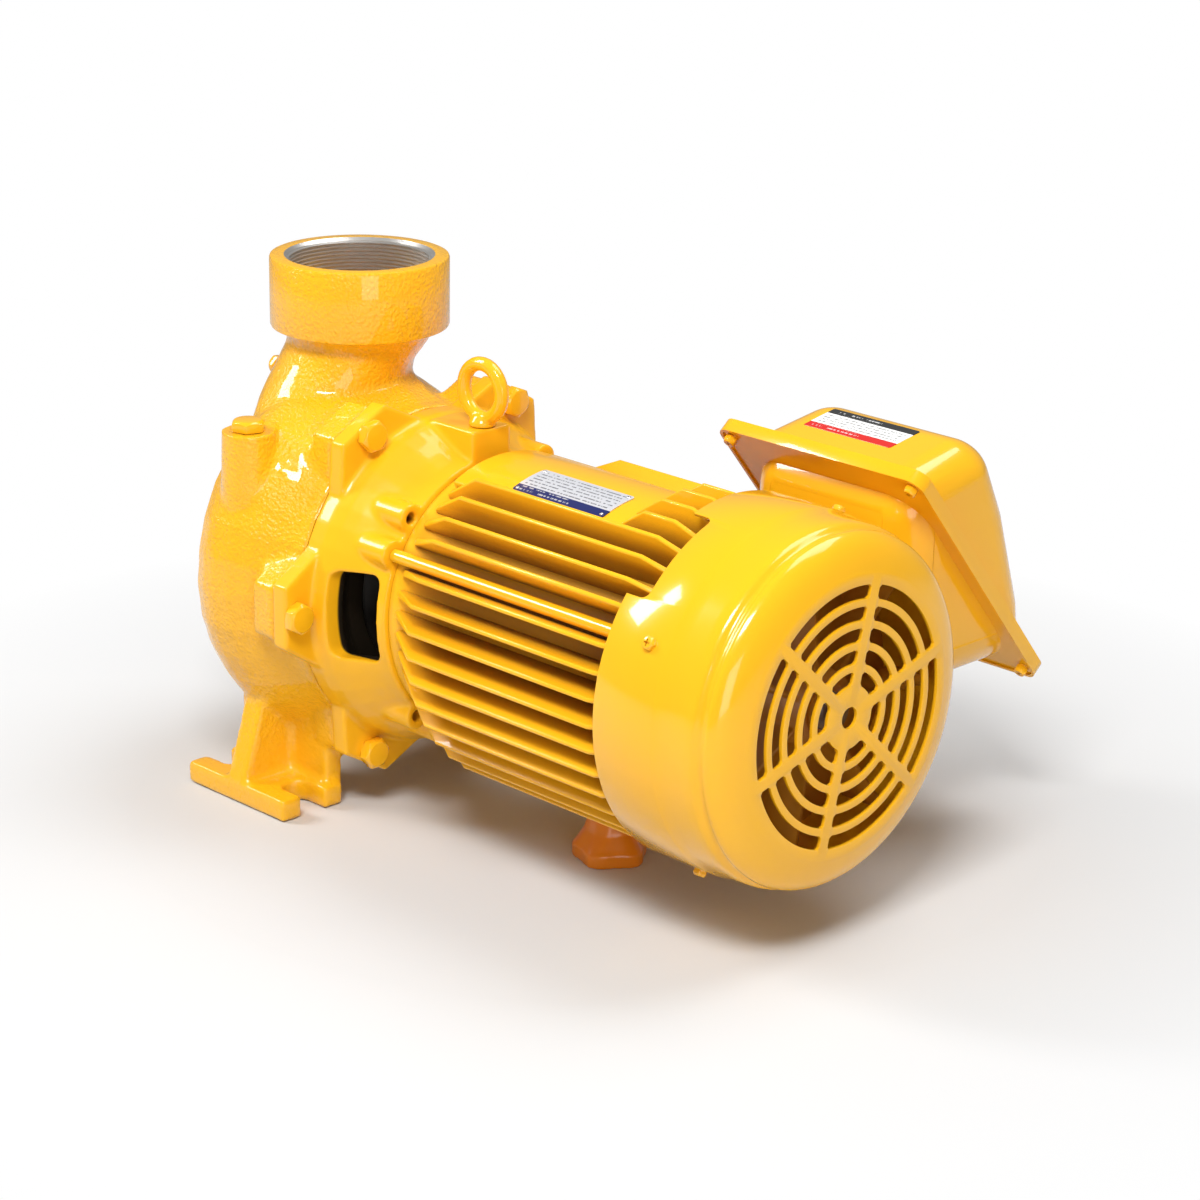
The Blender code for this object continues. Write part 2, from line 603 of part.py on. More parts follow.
def build_frame():
    x0, core = BRACKET_REAR_X + GAP, FRAME_CORE_R
    bore, bearing = SHAFT_R + 8, SHAFT_R + BEARING_CLEAR
    register = core + ROD_CLEAR - 0.6
    bm = bmesh.new()
    revolve(bm, [
        (x0, bearing), (x0, register), (x0 + FRAME_SPIGOT_T, register), (x0 + FRAME_SPIGOT_T + 3, core),
        (FRAME_X1, core), (FRAME_X1, bore), (x0 + 16, bore), (x0 + 16, bearing)], "X", 48)
    frame = finish(bm, "motor_frame")
    root, half = core - 2, FIN_T / 2
    long_fin = [(FIN_X0, root), (FIN_X0, core + 3), (FIN_TIP_X0, FIN_TIP_R), (FIN_TIP_X1, FIN_TIP_R),
                (FIN_X1, FIN_REAR_R), (FIN_X1, root)]
    short_fin = [(SHORT_FIN_X0, root), (SHORT_FIN_X0, PLATE_PAD_R - 2), (SHORT_FIN_TIP_X0, FIN_TIP_R)]
    short_fin += long_fin[3:]

    def fins(b):
        for a in fin_angles():
            prism(b, long_fin, -half, half, "Y", turn_x(a))
        for a in SHORT_FIN_ANGLES:
            prism(b, short_fin, -half, half, "Y", turn_x(a))

    def plate_pad(b):
        """Curved pad on top for the rating plate, between the upper fins."""
        arc = [math.radians(PLATE_PAD_ANGLE * (1 - i / 5)) for i in range(11)]
        outline = [(-PLATE_PAD_R * math.sin(t), PLATE_PAD_R * math.cos(t)) for t in arc]
        outline += [(-(core - 2) * math.sin(t), (core - 2) * math.cos(t)) for t in reversed(arc)]
        prism(b, outline, x0 + 9, SHORT_FIN_X0 + 8, "X")

    def box_pad(b):
        prism(b, [(BOX_PAD_X0, core * 0.75), (BOX_PAD_X1, core * 0.75), (BOX_PAD_X1, BOX_Y0 - GAP),
                  (BOX_PAD_X0, BOX_Y0 - GAP)], BOX_PAD_H0, BOX_PAD_H1, "Z")

    def heel(b):
        x = SUPPORT_X
        cylinder(b, (x, 0, -core - SUPPORT_PAD_T), (x, 0, -core + 8), SUPPORT_STEM_R + 2, steps=28)
    join(frame, fins, "fins")
    join(frame, plate_pad, "plate_pad")
    join(frame, box_pad, "box_pad")
    join(frame, heel, "support_heel")
    return dress(frame, material("motor paint", YELLOW, 0.25, coat=0.7))


def build_rods():
    bm = bmesh.new()
    cylinder(bm, (BRACKET_REAR_X + GAP, 0, 0), (EAR_X0 - GAP, 0, 0), ROD_D / 2, steps=16)
    bm.transform(Matrix.Scale(MM, 4))
    mesh = bpy.data.meshes.new("tie_rod")
    bm.to_mesh(mesh)
    bm.free()
    mesh.shade_smooth()
    mesh.set_sharp_from_angle(angle=math.radians(40))
    mesh.materials.append(material("rod paint", YELLOW, 0.3, coat=0.5))
    for i, a in enumerate(ROD_ANGLES):
        spot = ring_spot(a, ROD_R)
        rod = place(mesh, "tie_rod_%d" % (i + 1))
        rod.location = (0, spot.y * MM, (spot.z + SHAFT_H) * MM)


def build_shield():
    x0, bearing = FRAME_X1 + GAP, SHAFT_R + BEARING_CLEAR
    bm = bmesh.new()
    x1, x2 = x0 + SHIELD_T, x0 + SHIELD_HUB_T
    revolve(bm, [(x0, bearing), (x0, FRAME_CORE_R), (x1, FRAME_CORE_R), (x1, SHIELD_HUB_R + 16),
                 (x2, SHIELD_HUB_R), (x2, bearing)], "X", 40)
    shield = finish(bm, "rear_shield")
    half = EAR_WIDE / 2
    top = math.sqrt((COVER_R - COVER_T - GAP - 0.2) ** 2 - half ** 2)
    root = FRAME_CORE_R * 0.8
    ear = [(-half, root), (half, root), (half, top), (-half, top)]
    for a in ROD_ANGLES:
        join(shield, lambda b, a=a: prism(b, ear, EAR_X0, EAR_X1, "X", turn_x(a)), "shield_ear_%d" % a)
    return dress(shield, material("shield paint", YELLOW, 0.3, coat=0.5))


def cover_outline(radius_in, x_in):
    """Outer or inner line of the cover's wall, from its mouth to the grille face."""
    r, g, face = COVER_R - radius_in, COVER_GROOVE_X, COVER_X1 - x_in
    return [
        (COVER_X0, r), (COVER_STEP_X - 3, r), (COVER_STEP_X, r - 1.3), (g - 4, r - 2.2), (g - 1.5, r - 4.4),
        (g + 1, r - 4.8),
        (g + 3.5, r - 4.4), (g + 8, r - 7), (g + 12.5, r - 11.5), (face - 1.2, r - 17.5 + radius_in / 3),
        (face, COVER_FACE_R - radius_in), (face, 0),
    ]


def build_cover():
    bm = bmesh.new()
    revolve(bm, cover_outline(0, 0) + cover_outline(COVER_T, COVER_T)[::-1], "X", 48)
    cover = finish(bm, "fan_cover")
    pad_r, half, long = COVER_R + SCREW_PAD_RISE, SCREW_PAD_WIDE / 2, SCREW_PAD_LONG / 2
    sunk = COVER_R - COVER_T * 0.75
    pad = [(-half, sunk), (half, sunk), (half, pad_r - 1), (half - 2, pad_r), (2 - half, pad_r),
           (-half, pad_r - 1)]
    for a in ROD_ANGLES:
        join(cover, lambda b, a=a: prism(
            b, pad, SCREW_X - long, SCREW_X + long, "X", turn_x(a)), "screw_pad_%d" % a)
    cut(cover, notch, "notch")
    cut(cover, slots, "grille_slots")
    return dress(cover, material("cover paint", YELLOW, 0.12, coat=1.0))


def notch(bm):
    """Wedge that steps the mouth back over the near upper fins, round in its corners."""
    floor, mouth = COVER_X0 + NOTCH_DEPTH, COVER_X0 - 5
    middle = (NOTCH_FROM + NOTCH_TO) / 2
    corner = NOTCH_DEPTH * 0.3
    half = (NOTCH_TO - NOTCH_FROM) / 2
    round_half = half - math.degrees(corner / COVER_R)
    steps = [(-half, mouth), (-half, floor - corner), (-round_half - 0.6, floor - corner * 0.3),
             (-round_half, floor)]
    steps += [(-a, x) for a, x in reversed(steps)]
    rings = [[ring_spot(middle + a, r, x) for a, x in steps] for r in (COVER_R - 12, COVER_R + 12)]
    loft(bm, rings)


def slots(bm):
    """Five rings of slots between six spokes, and the middle hole."""
    pitch = (GRILLE_R - GRILLE_INNER_R) / GRILLE_ROWS
    lo_x, hi_x = COVER_X1 - 8, COVER_X1 + 5
    for row in range(GRILLE_ROWS):
        hi = GRILLE_R - row * pitch
        lo = hi - GRILLE_SLOT_W
        steps = max(3, int(hi / 9))
        for k in range(GRILLE_SPOKES):
            mid = GRILLE_TURN + 30 + 60 * k
            pts = []
            for r, way in ((hi, 1), (lo, -1)):
                half = 30 - math.degrees(math.asin(GRILLE_SPOKE_W / 2 / r))
                for i in range(steps + 1):
                    a = math.radians(mid + way * half * (2 * i / steps - 1))
                    pts.append((-r * math.sin(a), r * math.cos(a)))
            prism(bm, pts, lo_x, hi_x, "X")
    cylinder(bm, (lo_x, 0, 0), (hi_x, 0, 0), GRILLE_HOLE_R, steps=20)


def build_rotor():
    """Shaft, impeller, seal ring, nut, fan and clip, each with its origin on the shaft axis."""
    g = GAP
    fan_seat = FAN_X0 - 8
    bm = bmesh.new()
    step, end = IMPELLER_X0 + g, FAN_X1 + 2
    revolve(bm, [(SHAFT_X0, 0), (SHAFT_X0, SHAFT_END_R), (step, SHAFT_END_R), (step, SHAFT_R),
                 (fan_seat, SHAFT_R), (fan_seat, SHAFT_FAN_R), (end, SHAFT_FAN_R), (end, 0)], "X", 32)
    shaft = finish(bm, "rotor_shaft")
    dress(shaft, material("shaft steel", (0.55, 0.55, 0.56), 0.3, 1.0))

    x, shroud = IMPELLER_X0, IMPELLER_SHROUD_X
    bm = bmesh.new()
    hub_r = SHAFT_R + IMPELLER_HUB_T
    revolve(bm, [(x + 2 * g, SHAFT_R + g), (x + 2 * g, hub_r), (x + 10, IMPELLER_R), (shroud, IMPELLER_R),
                 (shroud, hub_r + 6), (shroud + 6, hub_r), (shroud + 6, SHAFT_R + g)], "X", ROUND)
    impeller = finish(bm, "impeller")

    def vanes(b):
        for i in range(5):
            vane = [(-2.5, hub_r - 4), (2.5, hub_r - 4), (12.5, IMPELLER_R - 2), (7.5, IMPELLER_R - 2)]
            prism(b, vane, x - 8, shroud - 3, "X", turn_x(72 * i))
    join(impeller, vanes, "vanes")
    dress(impeller, material("impeller iron", (0.3, 0.28, 0.26), 0.5, 0.6))

    bm = bmesh.new()
    cylinder(bm, (x - NUT_T, 0, 0), (x, 0, 0), NUT_R, steps=6)
    nut = finish(bm, "impeller_nut")
    cut(nut, lambda b: cylinder(
        b, (x - NUT_T - 5, 0, 0), (x + 5, 0, 0), SHAFT_END_R + g, steps=24), "nut_bore")
    dress(nut, material("nut steel", (0.5, 0.5, 0.5), 0.35, 1.0))

    seal_x = shroud + 6 + g
    bm = bmesh.new()
    revolve(bm, [(seal_x, SHAFT_R + g), (seal_x, SEAL_RING_R), (BRACKET_FACE_X + BACK_PLATE_T, SEAL_RING_R),
                 (BRACKET_FACE_X + BACK_PLATE_T, SHAFT_R + g)], "X", 28)
    seal = finish(bm, "seal_ring")
    dress(seal, material("seal face", (0.5, 0.5, 0.52), 0.25, 0.8))

    bm = bmesh.new()
    hub, disc = FAN_HUB_R, FAN_R - 10
    front, end, bore = FAN_X0, FAN_X1 - 6, SHAFT_FAN_R + g
    revolve(bm, [(front, bore), (front, hub), (front + 2, disc), (front + 5, disc), (front + 8, hub + 2),
                 (end, hub), (end, bore)], "X", 32)
    fan = finish(bm, "cooling_fan")

    def blades(b):
        blade = [(FAN_X0 + 3, hub - 4), (FAN_X1 - 10, hub - 4), (FAN_X1 - 4, FAN_R - 8), (FAN_X1 - 9, FAN_R),
                 (FAN_X0 + 3, FAN_R)]
        for i in range(FAN_BLADES):
            prism(b, blade, -1.6, 1.6, "Y", turn_x(360 * i / FAN_BLADES + 10))
    join(fan, blades, "fan_blades")
    dress(fan, material("fan plastic", (0.75, 0.33, 0.05), 0.4))

    bm = bmesh.new()
    clip_r, clip_end = SHAFT_FAN_R + 4, end + 2
    revolve(bm, [(end + g, bore), (end + g, clip_r), (clip_end, clip_r), (clip_end, bore)], "X", 24)
    clip = finish(bm, "fan_clip")
    dress(clip, material("clip steel", (0.4, 0.4, 0.4), 0.35, 1.0))

    origin = Vector((0, 0, SHAFT_H * MM))
    turning = {"vanes", "fan_blades", "nut_bore"}
    for obj in [shaft, impeller, nut, seal, fan, clip] + [o for o in cutters.objects if o.name in turning]:
        obj.data.transform(Matrix.Translation(-origin))
        obj.location = origin


def split_frame():
    """Matrix of the slanting split: local x along the shaft, y down the slope and z away from the motor."""
    tilt = math.radians(BOX_SPLIT_TILT)
    normal = Vector((0, math.cos(tilt), math.sin(tilt)))
    down = Vector((0, math.sin(tilt), -math.cos(tilt)))
    turn = Matrix((Vector((1, 0, 0)), down, normal)).transposed().to_4x4()
    if turn.determinant() < 0:
        turn = Matrix((Vector((-1, 0, 0)), down, normal)).transposed().to_4x4()
    return Matrix.Translation(((BOX_X0 + BOX_X1) / 2, BOX_SPLIT_Y, BOX_SPLIT_H)) @ turn


def rounded(width, length, r, steps=4):
    """Rectangle about the origin with round corners."""
    pts = []
    for sx, sy, start in ((1, 1, 0), (-1, 1, 90), (-1, -1, 180), (1, -1, 270)):
        for k in range(steps + 1):
            t = math.radians(start + 90 * k / steps)
            pts.append((sx * (width / 2 - r) + r * math.cos(t), sy * (length / 2 - r) + r * math.sin(t)))
    return pts


def build_box():
    at = split_frame()
    half_x, seam = (BOX_X1 - BOX_X0) / 2, BOX_GASKET_T / 2 + GAP
    wide, long = 2 * (half_x + BOX_FLANGE_LIP), BOX_FLANGE_LONG
    big = 400.0

    # base: a round-cornered box on the motor, cut off along the split
    bm = bmesh.new()
    bmesh.ops.create_cube(bm, size=1.0)
    far = BOX_SPLIT_Y + long / 2
    size = Vector((2 * half_x, far - BOX_Y0, BOX_H1 - BOX_H0))
    centre = Vector(((BOX_X0 + BOX_X1) / 2, (BOX_Y0 + far) / 2, (BOX_H0 + BOX_H1) / 2))
    bm.transform(Matrix.Translation(centre) @ Matrix.Diagonal((*size, 1)))
    bmesh.ops.bevel(bm, geom=bm.edges[:], offset=BOX_CORNER_R, segments=4, profile=0.5, affect="EDGES")
    base = finish(bm, "terminal_box_base")

    def beyond(b):
        bmesh.ops.create_cube(b, size=1.0)
        b.transform(at @ Matrix.Translation((0, 0, big / 2 - seam)) @ Matrix.Diagonal((big, big, big, 1)))
    cut(base, beyond, "base_split")
    lip = rounded(wide, long, 9)
    join(base, lambda b: prism(b, lip, -seam - BOX_FLANGE_T, -seam, "Z", at), "base_flange")
    dress(base, material("terminal box paint", YELLOW, 0.12, coat=1.0))

    # cover: a drawn lid with its own slant, drafted and rounded
    body, rise = long / 2 - BOX_FLANGE_LIP, BOX_COVER_RISE
    bm = bmesh.new()
    side = [(-body, seam + 0.5), (-body + 36, rise), (0.5, rise - 15), (body - 30, rise - 38),
            (body - 7, rise - 52), (body, seam + 0.5)]
    prism(bm, side, -half_x, half_x, "X")
    low = [e for e in bm.edges if all(v.co.z < seam + 1 for v in e.verts)]
    sharp = [e for e in bm.edges if e not in low and e.calc_face_angle() > math.radians(35)]
    bmesh.ops.bevel(bm, geom=sharp, offset=BOX_CORNER_R, segments=4, profile=0.5, affect="EDGES",
                    clamp_overlap=True)
    for v in bm.verts:
        v.co.x -= math.copysign(BOX_DRAFT * max(0.0, v.co.z) / rise, v.co.x)
    bm.transform(at)
    lid = finish(bm, "terminal_box_cover")
    join(lid, lambda b: prism(b, lip, seam, seam + BOX_FLANGE_T, "Z", at), "cover_flange")
    dress(lid, material("terminal box cover paint", YELLOW, 0.12, coat=1.0))

    bm = bmesh.new()
    prism(bm, rounded(wide - 3, long - 3, 8), -BOX_GASKET_T / 2, BOX_GASKET_T / 2, "Z", at)
    dress(finish(bm, "box_gasket"), material("box gasket rubber", (0.03, 0.03, 0.03), 0.7))


def build_eye_bolt():
    x, base = EYE_X, EYE_PAD_TOP + GAP
    neck_top = EYE_CENTRE - EYE_RING_R + 2
    bm = bmesh.new()
    revolve(bm, [(base, 0), (base, EYE_COLLAR_R), (base + 2.5, EYE_COLLAR_R), (neck_top, EYE_WIRE_R + 1),
                 (neck_top, 0)], "Z", 20, (x, 0, 0))
    eye = finish(bm, "eye_bolt")

    def ring(b):
        around = 10
        start = Vector((x + EYE_RING_R, 0, EYE_CENTRE))
        turns = [2 * math.pi * k / around for k in range(around)]
        verts = [b.verts.new(start + EYE_WIRE_R * Vector((math.cos(u), math.sin(u), 0))) for u in turns]
        edges = [b.edges.new((verts[k], verts[(k + 1) % around])) for k in range(around)]
        bmesh.ops.spin(b, geom=verts + edges, cent=(x, 0, EYE_CENTRE), axis=(0, 1, 0), angle=2 * math.pi,
                       steps=28, use_merge=True)
        bmesh.ops.remove_doubles(b, verts=b.verts, dist=1e-5)
    join(eye, ring, "eye_ring")
    return dress(eye, material("eye bolt paint", YELLOW, 0.25, coat=0.6))


def build_support():
    """Foot under the motor: a flared cone with a scalloped edge, on a stud."""
    floor, rise = -SHAFT_H, SUPPORT_TOP + SHAFT_H
    levels = [(0, 1.0), (SUPPORT_EDGE_T, 1.0), (SUPPORT_EDGE_T + 2.5, 0.82), (rise * 0.45, 0.36),
              (rise * 0.7, 0.1), (rise, 0.0)]
    rings = []
    for up, spread in levels:
        ring = []
        for i in range(40):
            t = 2 * math.pi * i / 40
            lobes = 1.6 * spread * math.cos(5 * t)
            r = SUPPORT_STEM_R + (SUPPORT_R - SUPPORT_STEM_R) * spread + lobes
            ring.append((SUPPORT_X + r * math.cos(t), r * math.sin(t), floor + up))
        rings.append(ring)
    bm = bmesh.new()
    loft(bm, rings)
    dress(finish(bm, "rear_support"), material("support rubber", (0.6, 0.17, 0.01), 0.35, coat=0.4))
    bm = bmesh.new()
    heel = -FRAME_CORE_R - SUPPORT_PAD_T
    cylinder(bm, (SUPPORT_X, 0, SUPPORT_TOP + GAP), (SUPPORT_X, 0, heel - GAP), STUD_R, steps=16)
    dress(finish(bm, "support_stud"), material("stud steel", (0.5, 0.5, 0.5), 0.4, 1.0))


build_casing()
build_plugs()
build_seal_parts()
build_bracket()
build_frame()
build_rods()
build_shield()
build_cover()
build_rotor()
build_box()
build_eye_bolt()
build_support()


def recentre():
    """Moves the whole pump so that the middle of its outer box stands over the origin."""
    graph = bpy.context.evaluated_depsgraph_get()
    corners = [
        obj.evaluated_get(graph).matrix_world @ Vector(corner)
        for obj in pump.objects for corner in obj.evaluated_get(graph).bound_box
    ]
    shift = [-(min(c[i] for c in corners) + max(c[i] for c in corners)) / 2 for i in (0, 1)]
    for obj in list(pump.objects) + list(cutters.objects):
        obj.location.x += shift[0]
        obj.location.y += shift[1]
    print("shift %.6f %.6f" % tuple(shift))


bpy.context.view_layer.update()
recentre()
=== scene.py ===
import json
import math

import bpy
from mathutils import Matrix, Vector


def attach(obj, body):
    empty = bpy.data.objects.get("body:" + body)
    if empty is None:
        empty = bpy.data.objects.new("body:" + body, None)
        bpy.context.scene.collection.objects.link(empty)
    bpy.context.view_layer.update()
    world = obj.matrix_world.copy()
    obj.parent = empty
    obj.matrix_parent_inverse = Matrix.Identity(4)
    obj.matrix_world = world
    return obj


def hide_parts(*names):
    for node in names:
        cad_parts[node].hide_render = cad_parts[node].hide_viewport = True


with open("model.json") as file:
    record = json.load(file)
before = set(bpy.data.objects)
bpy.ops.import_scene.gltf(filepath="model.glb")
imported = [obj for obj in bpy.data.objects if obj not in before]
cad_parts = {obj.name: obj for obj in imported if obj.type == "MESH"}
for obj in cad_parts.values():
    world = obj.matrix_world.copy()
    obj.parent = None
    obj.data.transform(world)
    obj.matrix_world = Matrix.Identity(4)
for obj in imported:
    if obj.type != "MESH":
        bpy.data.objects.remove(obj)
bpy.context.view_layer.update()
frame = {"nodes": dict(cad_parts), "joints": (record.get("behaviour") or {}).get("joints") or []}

nodes = frame["nodes"]
shaftPoint = Vector(frame["joints"][0]["pos_m"])     # shaft axis under the discharge port
mm = 0.001


def spot(x, y, h):
    # a place given in millimetres from the shaft point
    return shaftPoint + Vector((x, y, h)) * mm


def ringSpot(angle, radius, x):
    # round the shaft: 0 is up and 90 is the plug's side
    turn = math.radians(angle)
    return spot(x, -radius * math.sin(turn), radius * math.cos(turn))


def outward(angle):
    turn = math.radians(angle)
    return Vector((0, -math.sin(turn), math.cos(turn)))


# Camera, solved from the photograph

camera = dict(offset=(1.4275, -1.2331, 0.6142), right=(0.7071, 0.7069, 0.0174), up=(-0.2414, 0.2182, 0.9456),
              lens=95.2836, sensor=36.0)


def makeCamera():
    data = bpy.data.cameras.new("photoCamera")
    data.lens = camera["lens"]
    data.sensor_width = camera["sensor"]
    data.sensor_fit = "HORIZONTAL"
    obj = bpy.data.objects.new("photoCamera", data)
    right, up = Vector(camera["right"]).normalized(), Vector(camera["up"]).normalized()
    back = right.cross(up).normalized()
    turn = Matrix((right, back.cross(right), back)).transposed().to_4x4()
    obj.matrix_world = Matrix.Translation(shaftPoint + Vector(camera["offset"])) @ turn
    bpy.context.scene.collection.objects.link(obj)
    bpy.context.scene.camera = obj
    bpy.context.scene.view_settings.view_transform = "Standard"
    print("camera ready")


# Materials

class Term:
    # a socket or a number that can be written in sums
    def __init__(self, paint, socket):
        self.paint = paint
        self.socket = socket

    def sum(self, operation, a, b=None):
        values = {0: a} if b is None else {0: a, 1: b}
        return self.paint.node("ShaderNodeMath", {"operation": operation}, values)

    def __add__(self, other):
        return self.sum("ADD", self, other)

    __radd__ = __add__

    def __sub__(self, other):
        return self.sum("SUBTRACT", self, other)

    def __rsub__(self, other):
        return self.sum("SUBTRACT", other, self)

    def __mul__(self, other):
        return self.sum("MULTIPLY", self, other)

    __rmul__ = __mul__

    def __truediv__(self, other):
        return self.sum("DIVIDE", self, other)

    def __gt__(self, other):
        return self.sum("GREATER_THAN", self, other)

    def __lt__(self, other):
        return self.sum("LESS_THAN", self, other)

    def clamp(self):
        return self.sum("MINIMUM", self.sum("MAXIMUM", self, 0.0), 1.0)

    def over(self, low, high):
        # 0 below low and 1 above high
        return ((self - low) / (high - low)).clamp()

    def within(self, low, high):
        return (self > low) * (self < high)


class Paint:
    # a material under construction
    def __init__(self, name, colour, rough, metal=0.0, coat=0.0, coatRough=0.04):
        self.material = bpy.data.materials.new(name)
        self.material.use_nodes = True
        self.tree = self.material.node_tree
        self.shader = self.tree.nodes["Principled BSDF"]
        self.set("Base Color", (*colour, 1.0))
        self.set("Roughness", rough)
        self.set("Metallic", metal)
        self.set("Coat Weight", coat)
        self.set("Coat Roughness", coatRough)
        self.set("Specular IOR Level", 0.5 if metal or not coat else 0.25)

    def set(self, socket, value):
        if isinstance(value, Term):
            self.tree.links.new(value.socket, self.shader.inputs[socket])
        else:
            self.shader.inputs[socket].default_value = value

    def node(self, kind, settings=None, values=None, output=0):
        made = self.tree.nodes.new(kind)
        for key, value in (settings or {}).items():
            setattr(made, key, value)
        for key, value in (values or {}).items():
            if isinstance(value, Term):
                self.tree.links.new(value.socket, made.inputs[key])
            else:
                made.inputs[key].default_value = value
        return Term(self, made.outputs[output])

    def place(self):
        return self.node("ShaderNodeTexCoord", output="Object")

    def noise(self, scale, detail=2.0, rough=0.5):
        return self.node("ShaderNodeTexNoise", None, {
            "Vector": self.place(), "Scale": scale, "Detail": detail, "Roughness": rough}, output="Fac")

    def along(self, centre, direction):
        # distance in millimetres from the centre, measured along the direction
        gap = self.node("ShaderNodeVectorMath", {"operation": "SUBTRACT"}, {0: self.place(), 1: centre})
        run = self.node("ShaderNodeVectorMath", {"operation": "DOT_PRODUCT"}, {0: gap, 1: direction}, "Value")
        return run / mm

    def blend(self, amount, first, second):
        colours = {"Factor": amount, 6: first, 7: second}
        return self.node("ShaderNodeMix", {"data_type": "RGBA"}, colours, output=2)

    def bump(self, height, distance, strength=1.0):
        self.set("Normal", self.node("ShaderNodeBump", None, {
            "Height": height, "Distance": distance, "Strength": strength}, output="Normal"))

    def cover(self, *objects):
        for obj in objects:
            obj.data.materials.clear()
            obj.data.materials.append(self.material)


# the third colour is partly grime and partly painted shade, used in crevices and gaps
enamel = dict(colour=(0.92, 0.47, 0.010), deep=(0.84, 0.37, 0.006), grimyShadeColour=(0.16, 0.065, 0.008))


def enamelPaint(name, rough, coat, peel, peelScale, peelDepth, grimyShadeStrength=0.5, reach=0.018,
                patchy=(0.3, 0.7), calm=None):
    # thick yellow enamel; peel is how much of the casting shows through it, less below the calm heights
    paint = Paint(name, enamel["colour"], rough, coat=coat)
    blotch = paint.noise(9.0, 3.0)
    base = paint.blend(blotch.over(0.35, 0.75) * 0.3, (*enamel["colour"], 1.0), (*enamel["deep"], 1.0))
    # painted shade mixed with grime: where ambient occlusion finds crevices and gaps the colour goes towards
    # the dark third colour, broken up by noise
    hidden = 1.0 - paint.node("ShaderNodeAmbientOcclusion", {"samples": 8}, {"Distance": reach}, output="AO")
    grimyShade = (hidden.over(0.5, 0.98) * paint.noise(60.0, 4.0).over(*patchy) * grimyShadeStrength).clamp()
    paint.set("Base Color", paint.blend(grimyShade, base, (*enamel["grimyShadeColour"], 1.0)))
    paint.set("Roughness", (rough + grimyShade * 0.5 + paint.noise(40.0, 3.0) * 0.06).clamp())
    height = paint.noise(peelScale, 1.5, 0.45)
    if calm:
        height = height * (paint.along(shaftPoint, (0, 0, 1)).over(*calm) * 0.7 + 0.3)
    paint.bump(height, peelDepth, peel)
    return paint


# Modelling steps

def take(obj):
    bpy.ops.object.select_all(action="DESELECT")
    obj.select_set(True)
    bpy.context.view_layer.objects.active = obj
    return obj


def settle(obj, turn=None):
    # the place goes into the mesh and the object back to the origin
    if turn is not None:
        obj.matrix_world = turn @ obj.matrix_world
    take(obj)
    bpy.ops.object.transform_apply(location=True, rotation=True, scale=True)
    return obj


def bake(obj, kind, **settings):
    # one modifier, applied at once
    take(obj)
    step = obj.modifiers.new(kind.lower(), kind)
    for key, value in settings.items():
        setattr(step, key, value)
    bpy.ops.object.modifier_apply(modifier=step.name)
    return obj


def soften(obj, width, segments=3, angle=35):
    bake(obj, "BEVEL", width=width * mm, segments=segments, limit_method="ANGLE",
         angle_limit=math.radians(angle), miter_outer="MITER_ARC", harden_normals=False)
    return obj


def shade(obj, angle=40):
    take(obj)
    bpy.ops.object.shade_smooth_by_angle(angle=math.radians(angle))
    return obj


def fuse(first, second, operation="UNION"):
    # Boolean of two pieces; the second is used up
    bake(first, "BOOLEAN", operation=operation, solver="EXACT", object=second)
    bpy.data.objects.remove(second, do_unlink=True)
    return first


def gather(name, pieces):
    bpy.ops.object.select_all(action="DESELECT")
    for piece in pieces:
        piece.select_set(True)
    bpy.context.view_layer.objects.active = pieces[0]
    bpy.ops.object.join()
    pieces[0].name = name
    return pieces[0]


def twin(obj, turn):
    # a copy with its own mesh, moved by the matrix
    copy = obj.copy()
    copy.data = obj.data.copy()
    bpy.context.scene.collection.objects.link(copy)
    return settle(copy, turn)


def about(angle):
    # turn round the shaft
    turn = Matrix.Rotation(math.radians(angle), 4, "X")
    return Matrix.Translation(shaftPoint) @ turn @ Matrix.Translation(-shaftPoint)


def standing(point, direction, spin=0.0):
    # matrix that stands a piece made on +Z at the point, pointing along the direction
    turn = Vector(direction).to_track_quat("Z", "Y").to_matrix().to_4x4()
    return Matrix.Translation(point) @ turn @ Matrix.Rotation(math.radians(spin), 4, "Z")


def pointString(name, points):
    # one vertex drawn along the points, which are in millimetres, left selected in edit mode
    bpy.ops.object.select_all(action="DESELECT")
    bpy.ops.mesh.primitive_plane_add(size=mm, location=(0, 0, 0))
    obj = bpy.context.object
    obj.name = name
    bpy.ops.object.mode_set(mode="EDIT")
    bpy.ops.mesh.select_all(action="SELECT")
    bpy.ops.mesh.merge(type="CENTER")
    last = Vector((0, 0, 0))
    for index, point in enumerate(points):
        step = Vector(point) * mm - last
        if index == 0:
            bpy.ops.transform.translate(value=step)
        else:
            bpy.ops.mesh.extrude_vertices_move(TRANSFORM_OT_translate={"value": step})
        last = Vector(point) * mm
    bpy.ops.mesh.select_all(action="SELECT")
    return obj


def endEdit():
    bpy.ops.mesh.select_all(action="SELECT")
    bpy.ops.mesh.remove_doubles(threshold=1e-6)
    bpy.ops.mesh.normals_make_consistent(inside=False)
    bpy.ops.object.mode_set(mode="OBJECT")


def faceOut(obj):
    # doubles merged and normals turned outward again after a mirrored matrix
    take(obj)
    bpy.ops.object.mode_set(mode="EDIT")
    endEdit()


def turned(name, profile, where, steps=96):
    # (along, radius) points spun about +Z; a profile that leaves the axis is closed into a ring
    points = [(radius, 0, along) for along, radius in profile]
    if profile[0][1] > 0 and profile[-1][1] > 0:
        points.append(points[0])
    obj = pointString(name, points)
    bpy.ops.mesh.spin(steps=steps, angle=math.tau, center=(0, 0, 0), axis=(0, 0, 1))
    endEdit()
    return settle(obj, where)


